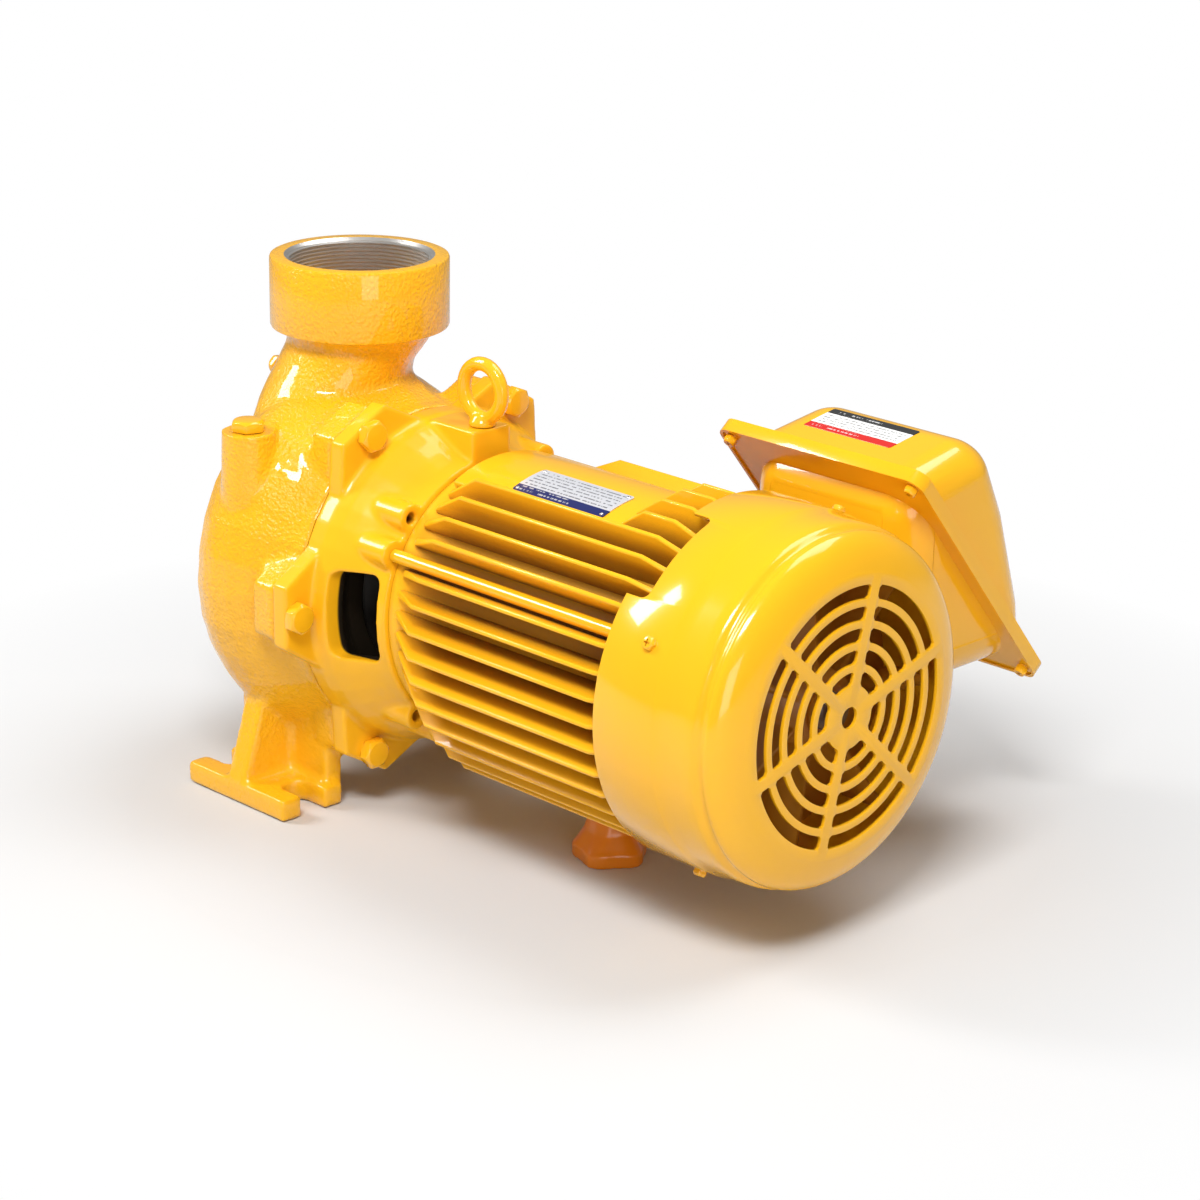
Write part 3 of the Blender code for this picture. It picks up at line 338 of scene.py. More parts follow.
def slab(name, outline, depth, where=Matrix.Identity(4)):
    # a flat outline of (x, y) points, filled and pushed along +Z
    points = [(x, y, 0) for x, y in outline]
    obj = pointString(name, points + points[:1])
    bpy.ops.mesh.remove_doubles(threshold=1e-6)
    bpy.ops.mesh.select_all(action="SELECT")
    bpy.ops.mesh.edge_face_add()
    bpy.ops.mesh.extrude_region_move(TRANSFORM_OT_translate={"value": (0, 0, depth * mm)})
    endEdit()
    return settle(obj, where)


def nodeCopy(node, name):
    # a merged copy of a CAD node's loose triangles
    obj = nodes[node].copy()
    obj.data = nodes[node].data.copy()
    obj.name = name
    bpy.context.scene.collection.objects.link(obj)
    take(obj)
    bpy.ops.object.mode_set(mode="EDIT")
    bpy.ops.mesh.select_all(action="SELECT")
    bpy.ops.mesh.remove_doubles(threshold=1e-6)
    bpy.ops.object.mode_set(mode="OBJECT")
    return obj


def recast(obj, voxel, swell, rounds, limit):
    # the look of a sand casting: swelling and shrinking fills the corners, smoothing takes off the steps
    bake(obj, "REMESH", mode="VOXEL", voxel_size=voxel * mm)
    if swell:
        bake(obj, "DISPLACE", strength=swell * mm, mid_level=0.0)
        bake(obj, "REMESH", mode="VOXEL", voxel_size=voxel * mm)
        bake(obj, "DISPLACE", strength=-swell * mm, mid_level=0.0)
        bake(obj, "REMESH", mode="VOXEL", voxel_size=voxel * mm)
    bake(obj, "SMOOTH", factor=0.5, iterations=rounds)
    faces = len(obj.data.polygons) * 2
    if faces > limit:
        bake(obj, "DECIMATE", ratio=limit / faces)
    take(obj)
    bpy.ops.object.shade_smooth()
    print(obj.name, "recast with", len(obj.data.polygons), "faces")
    return obj


def rounded(points):
    # cuts the corners of an open profile, keeping its ends
    cut = [points[0]]
    for (a, b), (c, d) in zip(points, points[1:]):
        cut += [(a * 0.75 + c * 0.25, b * 0.75 + d * 0.25), (a * 0.25 + c * 0.75, b * 0.25 + d * 0.75)]
    return cut + [points[-1]]


def roundCorners(wide, long, radius, steps=6):
    points = []
    for sx, sy, start in ((1, 1, 0), (-1, 1, 90), (-1, -1, 180), (1, -1, 270)):
        for k in range(steps + 1):
            t = math.radians(start + 90 * k / steps)
            points.append((sx * (wide / 2 - radius) + radius * math.cos(t),
                           sy * (long / 2 - radius) + radius * math.sin(t)))
    return points


def fit(obj, body, paint, slot, *replaced):
    # the piece gets its finish and its body, and the CAD nodes that it stands for are hidden
    paint.cover(obj)
    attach(obj, body)
    if replaced:
        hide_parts(*replaced)
    return obj


castPaint = enamelPaint("castEnamel", 0.24, 0.7, 1.0, 460.0, 0.0012, 0.9, calm=(-110.0, -75.0))
bellPaint = enamelPaint("bellEnamel", 0.28, 0.4, 0.25, 150.0, 0.0005, 0.7)
# on the fins the noise hardly breaks the darkening up, so the gaps between the fins are painted shade
finPaint = enamelPaint("finEnamel", 0.28, 0.35, 0.2, 150.0, 0.0004, 1.0, 0.022, (-1.0, 0.4))
sheetPaint = enamelPaint("sheetEnamel", 0.16, 0.6, 0.06, 60.0, 0.0004, 0.2)
boltPaint = enamelPaint("boltEnamel", 0.2, 0.8, 0.15, 200.0, 0.0003, 0.6, 0.004)


def paintedShadeInside(paint, reach, wall):
    # painted shade inside the bell: near-black where the surface lies deeper than the wall under the outer
    # cone
    front, rear = Vector(reach[0]), Vector(reach[1])
    gap = paint.node("ShaderNodeVectorMath", {"operation": "SUBTRACT"}, {0: paint.place(), 1: shaftPoint})
    flat = paint.node("ShaderNodeVectorMath", {"operation": "MULTIPLY"}, {0: gap, 1: (0.0, 1.0, 1.0)})
    radius = paint.node("ShaderNodeVectorMath", {"operation": "LENGTH"}, {0: flat}, "Value") / mm
    along = paint.along(shaftPoint, (1, 0, 0))
    slope = (rear.y - front.y) / (rear.x - front.x)
    outer = (along - front.x) * slope + front.y
    inside = (outer - radius).over(wall, wall + 1.5) * along.within(front.x, rear.x - 2)
    colour = paint.shader.inputs["Base Color"].links[0].from_socket
    # the near-black colour is painted shade in the recess
    paint.set("Base Color", paint.blend(inside, Term(paint, colour), (0.018, 0.013, 0.008, 1.0)))


paintedShadeInside(bellPaint, ((64.0, 99.0), (118.0, 86.0)), 3.0)
barePaint = Paint("groundSteel", (0.55, 0.55, 0.56), 0.3, 1.0)
threadPaint = Paint("cutIron", (0.62, 0.60, 0.57), 0.32, 0.85)
threadPaint.bump(threadPaint.noise(900.0, 2.0), 0.0002, 0.5)
gasketPaint = Paint("gasketRubber", (0.02, 0.02, 0.02), 0.6)


# Pump casing with its two threaded ports

casting = dict(voxel=1.5, swell=2.0, rounds=2, limit=195000)
waving = dict(size=0.007, strength=0.5, plugReach=17)
ports = dict(outer=54.5, top=186.5, base=143.0, face=-88.0, bore=43.9, crest=42.5, pitch=2.309, turns=10,
             chamfer=1.8, tuck=1.0, skin=6, boreDeep=28, suctionDeep=34, threadWall=1.9)


def portProfile(far, near):
    # boss wall from its inner end to its face, rounded outside and with thread grooves inside
    p = ports
    profile = [(near, p["outer"] - 8), (near, p["outer"] - 1.6), (near + 0.5, p["outer"] - 0.5),
               (near + 1.7, p["outer"]), (far - 1.6, p["outer"]), (far - 0.5, p["outer"] - 0.5),
               (far, p["outer"] - 1.6),
               (far, p["bore"] + p["chamfer"]), (far - p["chamfer"], p["bore"])]
    along = far - p["chamfer"]
    for _ in range(p["turns"]):
        profile += [(along - p["pitch"] * 0.12, p["bore"]), (along - p["pitch"] * 0.44, p["crest"]),
                    (along - p["pitch"] * 0.56, p["crest"]), (along - p["pitch"] * 0.88, p["bore"])]
        along -= p["pitch"]
    return profile + [(along - 2, p["bore"]), (near + 3, p["bore"] + 0.5)]


def makeCasing():
    p = ports
    shell = recast(nodeCopy("volute_casing", "voluteShell"), **casting)
    waves = bpy.data.textures.new("castWaves", "CLOUDS")
    waves.noise_scale = waving["size"]
    waves.noise_depth = 1
    bake(shell, "DISPLACE", texture=waves, texture_coords="LOCAL", mid_level=0.5,
         strength=waving["strength"] * mm)
    for vert in shell.data.vertices:
        # the casting stays flat under the plug and inside the two turned bosses
        place = (vert.co - shaftPoint) / mm
        aside = Vector((place.x - primer["x"], place.y - primer["y"])).length
        if aside < waving["plugReach"] and place.z > primer["seat"]:
            place.z = primer["seat"]
        for along, radius, low, high in (
                (place.z, Vector((place.x, place.y)), p["base"] + 0.6, p["top"]),
                (-place.x, Vector((place.y, place.z)), -p["face"] - p["suctionDeep"] + 1, -p["face"])):
            if along < low:
                continue
            reach = radius.length
            if reach > p["outer"] - p["skin"]:
                wanted = min(reach, p["outer"] - p["tuck"])
            elif along > high - p["boreDeep"]:
                wanted = max(reach, p["bore"] + p["tuck"])
            else:
                wanted = reach
            radius *= wanted / reach
            along = min(along, high - p["tuck"])
            if high == p["top"]:
                place = Vector((radius.x, radius.y, along))
            else:
                place = Vector((-along, radius.x, radius.y))
        vert.co = shaftPoint + place * mm
    fit(shell, "pump", castPaint, "volute_casing", "volute_casing")
    upright = standing(spot(0, 0, 0), (0, 0, 1))
    sideways = standing(spot(0, 0, 0), (-1, 0, 0))
    for name, where, far, near in (("dischargeBoss", upright, p["top"], p["base"]),
                                   ("suctionBoss", sideways, -p["face"], -p["face"] - p["suctionDeep"])):
        boss = turned(name, portProfile(far, near), where, 128)
        shade(boss, 30)
        fit(boss, "pump", castPaint, "volute_casing")
        boss.data.materials.append(threadPaint.material)
        axis = where.to_3x3() @ Vector((0, 0, 1))
        for face in boss.data.polygons:
            gap = face.center - shaftPoint
            across = (gap - axis * gap.dot(axis)).length / mm
            if across < p["bore"] + p["threadWall"]:
                face.material_index = 1
    print("casing ready")


# Bracket, plugs and bolts

bolts = dict(radius=114.8, seat=73.9, flats=17.0, head=6.6, washer=0.7, angles=(30, 90, 150, 210, 270, 330),
             turns=(12, 28, 5, 20, 50, 37))
primer = dict(x=11.0, y=-97.0, seat=96.2, base=96.6, flats=18.2, head=6.6)
gauge = dict(x=-60.3, y=-12.9, h=107.0, flats=11.5, head=6.0)


def hexHead(name, flats, head, where, washer=0.0):
    # hexagon with its corners turned off at the top
    corner = flats / math.sqrt(3)
    turns = [math.radians(60 * k) for k in range(6)]
    body = slab(name, [(corner * math.cos(t), corner * math.sin(t)) for t in turns], head)
    dome = turned(name + "Dome", [(-1, 0), (-1, corner + 2), (head - 1.9, corner + 2),
                                  (head - 1.9, corner + 0.05), (head - 0.75, flats * 0.485),
                                  (head - 0.1, flats * 0.45), (head, flats * 0.42), (head, 0)],
                  Matrix.Identity(4), 48)
    fuse(body, dome, "INTERSECT")
    soften(body, 0.35, 2, 25)
    if washer:
        ring = turned(name + "Face", [(-0.1, 0), (-0.1, flats * 0.5), (washer, flats * 0.5), (washer, 0)],
                      Matrix.Identity(4), 48)
        settle(body, Matrix.Translation((0, 0, washer * mm * 0.9)))
        body = gather(name, [body, ring])
    settle(body, where)
    return shade(body, 30)


def makeBolts():
    heads = []
    for angle, spin in zip(bolts["angles"], bolts["turns"]):
        where = standing(ringSpot(angle, bolts["radius"], bolts["seat"]), (1, 0, 0), spin)
        heads.append(hexHead("flangeBolt%d" % angle, bolts["flats"], bolts["head"], where, bolts["washer"]))
    fit(gather("flangeBolts", heads), "pump", boltPaint, "motor_bracket")
    where = standing(spot(primer["x"], primer["y"], primer["base"]), (0, 0, 1), 14)
    plug = hexHead("primingPlug", primer["flats"], primer["head"], where)
    fit(plug, "pump", boltPaint, "priming_plug", "priming_plug")
    where = standing(spot(gauge["x"], gauge["y"], gauge["h"]), (-1, 0, 0), 8)
    plug = hexHead("gaugePlug", gauge["flats"], gauge["head"], where)
    fit(plug, "pump", boltPaint, "gauge_plug", "gauge_plug")
    print("bolts ready")


bellCast = dict(voxel=1.05, swell=1.2, rounds=2, limit=190000)
eyeCast = dict(voxel=0.5, swell=1.5, rounds=6, limit=60000)
footCast = dict(voxel=0.8, swell=0.0, rounds=5, limit=40000)


def makeBracket():
    bell = recast(nodeCopy("motor_bracket", "bracketBell"), **bellCast)
    fit(bell, "pump", bellPaint, "motor_bracket", "motor_bracket")
    eye = recast(nodeCopy("eye_bolt", "liftingEye"), **eyeCast)
    fit(eye, "pump", boltPaint, "eye_bolt", "eye_bolt")
    foot = recast(nodeCopy("rear_support", "rubberFoot"), **footCast)
    rubber = Paint("orangeRubber", (0.86, 0.24, 0.008), 0.3, coat=0.4)
    rubber.bump(rubber.noise(120.0, 3.0), 0.0006, 0.3)
    fit(foot, "pump", rubber, "rear_support", "rear_support")
    print("bracket ready")


# Finned motor body and rods

motor = dict(core=80.0, front=118.3, rear=326.0, register=82.0, bore=22.0, finStart=125.0, tipStart=158.0,
             tipEnd=302.0, finEnd=323.0, tip=103.3, rearTip=93.5, frontTip=83.0, thick=2.7, rootThick=4.8,
             shortStart=254.0, shortTip=279.0, padAngle=27.0, padR=89.5, padEnd=262.0, padStart=127.3)
finAngles = dict(upper=54.3, upperPitch=8.4, upperCount=4, lower=67.6, pitch=8.65, lowerCount=10, mirror=-3.5,
                 short=(21.0, 12.8, 3.8, 354.5))
rods = dict(angles=(62.3, 329.5, 242.3, 152.3), radius=86.6, size=4.0, start=118.2, end=330.8, clear=6.55)
support = dict(x=222.0, top=-80.0, low=-85.0, radius=14.0)
boxPad = dict(x=(240.0, 299.0), y=(60.0, 107.7), h=(-14.0, 46.0))


def spread():
    # the fins' angles: the near side as measured and the far side its mirror
    f = finAngles
    near = [f["upper"] - f["upperPitch"] * k for k in range(f["upperCount"])]
    near += [f["lower"] + f["pitch"] * k for k in range(f["lowerCount"])]
    far = [360 - a + f["mirror"] for a in near]
    angles = near + [a for a in far if a > 180 + f["pitch"]]
    clear = math.degrees(rods["clear"] / rods["radius"])
    return [a for a in angles if all(abs((a - r + 180) % 360 - 180) > clear for r in rods["angles"])]


def makeFin(name, outline):
    # outline of (x, radius) points; the fin is thicker at its root and round at its tip
    m = motor
    upright = Matrix.Translation(shaftPoint) @ Matrix.Rotation(math.radians(90), 4, "X")
    fin = slab(name, outline, m["rootThick"], upright @ Matrix.Translation((0, 0, -m["rootThick"] / 2 * mm)))
    for vert in fin.data.vertices:
        height = ((vert.co.z - shaftPoint.z) / mm - m["core"]) / (m["tip"] - m["core"])
        share = 1 + (m["thick"] / m["rootThick"] - 1) * min(1.0, max(0.0, height))
        vert.co.y = shaftPoint.y + (vert.co.y - shaftPoint.y) * share
    return soften(fin, 1.0, 3, 40)


def makeMotor():
    m = motor
    root = m["core"] - 2
    rear = [(m["tipEnd"], m["tip"]), (m["finEnd"], m["rearTip"]), (m["finEnd"], root)]
    long = makeFin("longFin", [(m["finStart"], root), (m["finStart"], m["frontTip"]),
                               (m["tipStart"], m["tip"])] + rear)
    short = makeFin("shortFin", [(m["shortStart"], root), (m["shortStart"], m["padR"] - 2),
                                 (m["shortTip"], m["tip"])] + rear)
    fins = [twin(long, about(a)) for a in spread()] + [twin(short, about(a)) for a in finAngles["short"]]
    for pattern in (long, short):
        bpy.data.objects.remove(pattern, do_unlink=True)
    core = turned("motorCore", [(m["front"], m["bore"]), (m["front"], m["register"]),
                                (m["front"] + 4, m["register"]), (m["front"] + 7, m["core"]),
                                (m["rear"], m["core"]), (m["rear"], m["bore"])],
                  standing(spot(0, 0, 0), (1, 0, 0)), 144)
    arc = [math.radians(m["padAngle"] * (1 - k / 10)) for k in range(21)]
    sideways = Matrix.Translation(shaftPoint) @ Matrix.Rotation(math.radians(90), 4, "Y")
    outline = [(-m["padR"] * math.cos(t), -m["padR"] * math.sin(t)) for t in arc]
    outline += [(-root * math.cos(t), -root * math.sin(t)) for t in reversed(arc)]
    pad = slab("platePad", outline, m["padEnd"] - m["padStart"],
               sideways @ Matrix.Translation((0, 0, m["padStart"] * mm)))
    soften(pad, 1.6, 3, 50)
    b = boxPad
    (left, right), (near, far), (low, high) = b["x"], b["y"], b["h"]
    block = slab("boxPad", [(left, near), (right, near), (right, far), (left, far)], high - low,
                 Matrix.Translation(spot(0, 0, low)))
    soften(block, 1.5, 3)
    s = support
    heel = turned("supportHeel", [(s["top"], 0), (s["top"], s["radius"] + 2), (s["low"] + 1, s["radius"]),
                                  (s["low"], s["radius"] - 1.5), (s["low"], 0)],
                  Matrix.Translation(spot(s["x"], 0, 0)), 64)
    body = gather("motorBody", [core, pad, block, heel] + fins)
    shade(body, 35)
    fit(body, "pump", finPaint, "motor_frame", "motor_frame")
    for index, angle in enumerate(rods["angles"]):
        where = standing(ringSpot(angle, rods["radius"], 0), (1, 0, 0))
        r, a, b = rods["size"], rods["start"], rods["end"]
        bar = turned("clampRod%d" % (index + 1), [(a, 0), (a, r), (b, r), (b, 0)], where, 32)
        shade(bar, 35)
        fit(bar, "pump", boltPaint, "tie_rod_%d" % (index + 1), "tie_rod_%d" % (index + 1))
    print("motor ready,", len(fins), "fins")


# Fan cover

cover = dict(start=310.0, end=400.0, wall=2.0, notch=15.0, notchFrom=17.0, notchTo=50.5, mouth=105.8,
             screwX=340.0, outerSlot=74.4, innerSlot=14.0, rows=5, slot=7.9, spokes=6, spoke=7.0, turn=-13.5,
             hole=6.2, deep=8, past=5)
coverProfile = [(310.0, 105.8), (352.0, 105.8), (357.0, 104.6), (377.5, 103.9), (380.5, 102.8), (382.5, 100.4),
                (385.0, 100.4), (387.5, 101.5), (391.5, 98.9), (395.3, 94.3), (398.2, 87.0), (399.5, 81.6),
                (400.0, 80.2)]


def makeCover():
    c = cover
    axis = standing(spot(0, 0, 0), (1, 0, 0))
    outer = [coverProfile[0]] + rounded(coverProfile[1:-1]) + [coverProfile[-1]]
    inner = [(min(x, c["end"] - c["wall"]), max(0.0, r - c["wall"])) for x, r in outer]
    shell = turned("coverShell", outer + [(c["end"], 0), (c["end"] - c["wall"], 0)] + inner[::-1], axis, 160)
    fuse(shell, notchCutter(), "DIFFERENCE")
    fuse(shell, slotCutter(), "DIFFERENCE")
    soften(shell, 0.3, 2, 45)
    shade(shell, 40)
    fit(shell, "pump", sheetPaint, "fan_cover", "fan_cover")
    print("fan cover ready")


def notchCutter():
    # block that steps the mouth back over the near upper fins
    c = cover
    middle, half = (c["notchFrom"] + c["notchTo"]) / 2, math.radians((c["notchTo"] - c["notchFrom"]) / 2)
    reach = c["mouth"] * math.sin(half)
    corner = c["notch"] * 0.35
    floor = c["start"] + c["notch"]
    right = [(reach, c["start"] - 5), (reach, floor - corner)]
    right += [(reach - corner * (1 - math.cos(t)), floor - corner * (1 - math.sin(t)))
              for t in [math.radians(15 * k) for k in range(1, 7)]]
    outline = right + [(-x, y) for x, y in reversed(right)]
    lay = Matrix.Rotation(math.radians(90), 4, "Z")
    block = slab("notchBlock", outline, 40, lay)
    settle(block, Matrix.Scale(-1, 4, (1, 0, 0)))
    faceOut(block)
    return settle(block, about(middle) @ Matrix.Translation(spot(0, 0, 85)))


def slotCutter():
    # rings of slots between the spokes, and the middle hole
    c = cover
    pitch = (c["outerSlot"] - c["innerSlot"]) / c["rows"]
    base = Matrix.Translation(shaftPoint) @ Matrix.Rotation(math.radians(90), 4, "Y")
    low, high = c["end"] - c["deep"], c["end"] + c["past"]
    where = base @ Matrix.Translation((0, 0, low * mm))
    pieces = [turned("middleHole", [(low, 0), (low, c["hole"]), (high, c["hole"]), (high, 0)],
                     standing(spot(0, 0, 0), (1, 0, 0)), 48)]
    for row in range(c["rows"]):
        high = c["outerSlot"] - row * pitch
        low = high - c["slot"]
        bend = min(1.6, c["slot"] / 3)
        for spoke in range(c["spokes"]):
            middle = c["turn"] + 30 + 60 * spoke
            outline = []
            for radius, way in ((high, 1), (low, -1)):
                half = 30 - math.degrees(math.asin(c["spoke"] / 2 / radius))
                cut = math.degrees(bend / radius)
                inside = radius - way * bend
                first = middle - way * half
                steps = max(4, int(radius / 3))
                edge = 30 - math.degrees(math.asin(c["spoke"] / 2 / inside))
                sweep = 2 * half - 2 * cut
                outline.append((inside, middle - way * edge))
                outline += [(radius, first + way * (cut + sweep * k / steps)) for k in range(steps + 1)]
                outline.append((inside, middle + way * edge))
            points = [(-r * math.cos(math.radians(a)), -r * math.sin(math.radians(a))) for r, a in outline]
            pieces.append(slab("slot%d%d" % (row, spoke), points, c["deep"] + c["past"], where))
    return gather("slotBlock", pieces)


# Terminal box, split on a slanting plane

box = dict(x=(219.5, 349.0), y=108.0, h=(-37.0, 97.5), split=(162.0, 33.0), tilt=40.0, long=193.0, lip=12.5,
           sheet=2.6, corner=22.0, baseCorner=30.0, upperShare=0.85, rise=65.0, draft=5.0, gasket=1.6, gap=0.3,
           grow=4.5, footIn=8.5, crest=-50.0, ridge=((2.0, 51.0), (58.0, 27.0), (81.0, 11.0), (87.0, 1.6)),
           deep=50.0, flangeCorner=9.0, rim=2.0, rimDrop=8.6, screwIn=8.5)


def splitFrame():
    # local x lies along the shaft, y down the slope and z away from the motor
    tilt = math.radians(box["tilt"])
    normal = Vector((0, math.cos(tilt), math.sin(tilt)))
    down = Vector((0, math.sin(tilt), -math.cos(tilt)))
    turn = Matrix((down.cross(normal), down, normal)).transposed().to_4x4()
    return Matrix.Translation(spot(sum(box["x"]) / 2, *box["split"])) @ turn


def weighted(obj, share):
    # bevel weights by a rule that gets the edge's ends and the faces on it
    weight = obj.data.attributes.new("bevel_weight_edge", "FLOAT", "EDGE")
    faces = {}
    for face in obj.data.polygons:
        for key in face.edge_keys:
            faces.setdefault(key, []).append(face)
    for edge in obj.data.edges:
        ends = [obj.data.vertices[v].co for v in edge.vertices]
        weight.data[edge.index].value = share(ends, *faces[edge.key])


def cutOff(obj, point, normal):
    # what lies beyond the plane goes, and the cut is closed
    take(obj)
    bpy.ops.object.mode_set(mode="EDIT")
    bpy.ops.mesh.select_all(action="SELECT")
    bpy.ops.mesh.bisect(plane_co=point, plane_no=normal, use_fill=True, clear_outer=True)
    endEdit()


def rootFillet(obj, width):
    # rounds the inside corners where a drawn wall runs into its flange
    def inner(ends, first, second):
        lean = first.normal.dot(second.center - first.center)
        return 1.0 if lean > 0 and first.normal.angle(second.normal) > math.radians(20) else 0.0

    weighted(obj, inner)
    bake(obj, "BEVEL", width=width * mm, segments=4, limit_method="WEIGHT")


def lidWall():
    # foot and crest of the lid's sloping wall that carries the label, in the split's frame
    foot = Vector((0, -box["long"] / 2 + box["footIn"], box["gasket"] / 2 + box["gap"]))
    return foot, Vector((0, box["crest"], box["rise"]))


def makeBase():
    b = box
    at = splitFrame()
    half = (b["x"][1] - b["x"][0]) / 2
    seam = b["gasket"] / 2 + b["gap"]
    wide, long = 2 * (half + b["lip"]), b["long"]
    normal = at.to_3x3() @ Vector((0, 0, 1))
    far = b["split"][0] + long / 2
    size = Vector((2 * half, far - b["y"], b["h"][1] - b["h"][0])) * mm
    centre = spot(sum(b["x"]) / 2, (b["y"] + far) / 2, sum(b["h"]) / 2)
    bpy.ops.object.select_all(action="DESELECT")
    bpy.ops.mesh.primitive_cube_add(size=1.0, location=centre, scale=size)
    base = settle(bpy.context.object)
    base.name = "boxBase"
    low = centre.z - size.z / 2 + mm
    weighted(base, lambda ends, *_: 1.0 if all(end.z < low for end in ends) else b["upperShare"])
    bake(base, "BEVEL", width=b["baseCorner"] * mm, segments=10, limit_method="WEIGHT")
    cutOff(base, at.translation - normal * (seam + 0.3) * mm, normal)
    outline = roundCorners(wide - 2 * b["rim"] - 0.4, long - 2 * b["rim"] - 0.4, b["flangeCorner"] - b["rim"])
    below = at @ Matrix.Translation((0, 0, -(seam + b["sheet"]) * mm))
    flange = slab("baseFlange", outline, b["sheet"], below)
    fuse(base, flange)
    rootFillet(base, 4.0)
    shade(base, 35)
    fit(base, "pump", sheetPaint, "terminal_box_base", "terminal_box_base")
    print("terminal box base ready")


def makeLid():
    # a drawn lid: its side outline runs on below the split, is rounded all over and is then cut off there
    b = box
    at = splitFrame()
    half = (b["x"][1] - b["x"][0]) / 2
    seam = b["gasket"] / 2 + b["gap"]
    wide, long = 2 * (half + b["lip"]), b["long"]
    foot, top = lidWall()
    lean = (top - foot).normalized() * b["deep"]
    side = [(foot.y - lean.y, foot.z - lean.z), (top.y, top.z), *b["ridge"]]
    side += [(side[-1][0] + b["deep"] * 0.6, seam - b["deep"])]
    lid = slab("boxLid", [(z, y) for y, z in side], 2 * (half + b["grow"]))
    settle(lid, Matrix(((0, 0, 1, -(half + b["grow"]) * mm), (0, 1, 0, 0), (1, 0, 0, 0), (0, 0, 0, 1))))
    faceOut(lid)

    def outer(ends, first, second):
        below = all(end.z < 0 for end in ends)
        return 0.0 if below or first.normal.angle(second.normal) < math.radians(30) else 1.0

    weighted(lid, outer)
    bake(lid, "BEVEL", width=b["corner"] * mm, segments=12, limit_method="WEIGHT")
    for vert in lid.data.vertices:
        vert.co.x -= math.copysign(b["draft"] * max(0.0, vert.co.z) / b["rise"], vert.co.x)
    cutOff(lid, (0, 0, (seam + 0.5) * mm), (0, 0, -1))
    settle(lid, at)
    outline = roundCorners(wide, long, b["flangeCorner"])
    flange = slab("lidFlange", outline, b["sheet"], at @ Matrix.Translation((0, 0, seam * mm)))
    fuse(lid, flange)
    rootFillet(lid, 3.0)
    low = at @ Matrix.Translation((0, 0, (seam + b["sheet"] - b["rimDrop"]) * mm))
    rim = slab("lidRim", outline, b["rimDrop"], low)
    inner = roundCorners(wide - 2 * b["rim"], long - 2 * b["rim"], b["flangeCorner"] - b["rim"])
    fuse(rim, slab("rimRoom", inner, 30, at @ Matrix.Translation((0, 0, (seam - 30) * mm))), "DIFFERENCE")
    fuse(lid, rim)
    soften(lid, 0.7, 3, 60)
    shade(lid, 35)
    fit(lid, "pump", sheetPaint, "terminal_box_cover", "terminal_box_cover")
    strip = nodeCopy("box_gasket", "boxSeal")
    for vert in strip.data.vertices:
        place = at.inverted() @ vert.co
        place.x *= 1 - b["rim"] * 2.4 / wide
        place.y *= 1 - b["rim"] * 2.4 / long
        vert.co = at @ place
    shade(strip, 30)
    fit(strip, "pump", gasketPaint, "box_gasket", "box_gasket")
    print("terminal box lid ready")


# Screws with a cross recess, on the fan cover and the terminal box

coverScrew = dict(radius=4.0, head=3.0, flats=7.2)
boxScrew = dict(radius=3.4, head=4.4, flats=7.0)
recess = dict(share=0.5, half=0.45, deep=1.1, washer=0.8)


def crossScrew(name, where, radius, head, flats):
    body = hexHead(name, flats, head, Matrix.Identity(4), recess["washer"])
    long, half = radius * recess["share"], recess["half"]
    floor = Matrix.Translation((0, 0, (head - recess["deep"]) * mm))
    for turn in (0, 90):
        seat = Matrix.Rotation(math.radians(turn), 4, "Z") @ floor
        arm = slab(name + "Arm", [(-long, -half), (long, -half), (long, half), (-long, half)], 3, seat)
        fuse(body, arm, "DIFFERENCE")
    settle(body, where)
    return shade(body, 30)


def makeScrews():
    c, b = cover, box
    screws = []
    for index, angle in enumerate(rods["angles"]):
        where = standing(ringSpot(angle, c["mouth"] - 0.1, c["screwX"]), outward(angle), 20 * index)
        screws.append(crossScrew("coverScrew%d" % index, where, **coverScrew))
    fit(gather("coverScrews", screws), "pump", boltPaint, "fan_cover")
    at = splitFrame()
    wide = (b["x"][1] - b["x"][0]) / 2 + b["lip"] - b["screwIn"]
    long = b["long"] / 2 - b["screwIn"]
    top = b["gasket"] / 2 + b["gap"] + b["sheet"]
    down = Matrix.Rotation(math.pi, 4, "X")
    screws = []
    for sx, sy in ((1, 1), (1, -1), (-1, 1), (-1, -1)):
        corner = at @ Matrix.Translation((sx * wide * mm, sy * long * mm, -top * mm))
        where = corner @ down @ Matrix.Rotation(sx + sy, 4, "Z")
        screws.append(crossScrew("boxScrew%d%d" % (sx + 1, sy + 1), where, **boxScrew))
    fit(gather("boxScrews", screws), "pump", boltPaint, "terminal_box_base")
    print("screws ready")


# Rating plate and box label, both with plain bars in place of words

plate = dict(x=(170.0, 243.0), angles=(4.5, 22.0), radius=89.7, thick=0.5, ground=(0.74, 0.75, 0.79),
             ink=(0.12, 0.12, 0.14), blue=(0.02, 0.03, 0.16), rough=0.3, metal=0.35, strips=8)
label = dict(x=(243.0, 309.0), start=28.0, high=28.0, thick=0.25, ground=(0.85, 0.85, 0.83),
             ink=(0.1, 0.1, 0.1), red=(0.6, 0.02, 0.015), black=(0.03, 0.03, 0.03), rough=0.35, metal=0.0)
bars = dict(pitch=3.1, step=3.0, shift=7.3, scale=1.6)
rivet = [(0, 0), (0, 1.3), (0.5, 1.1), (0.8, 0.5), (0.9, 0)]


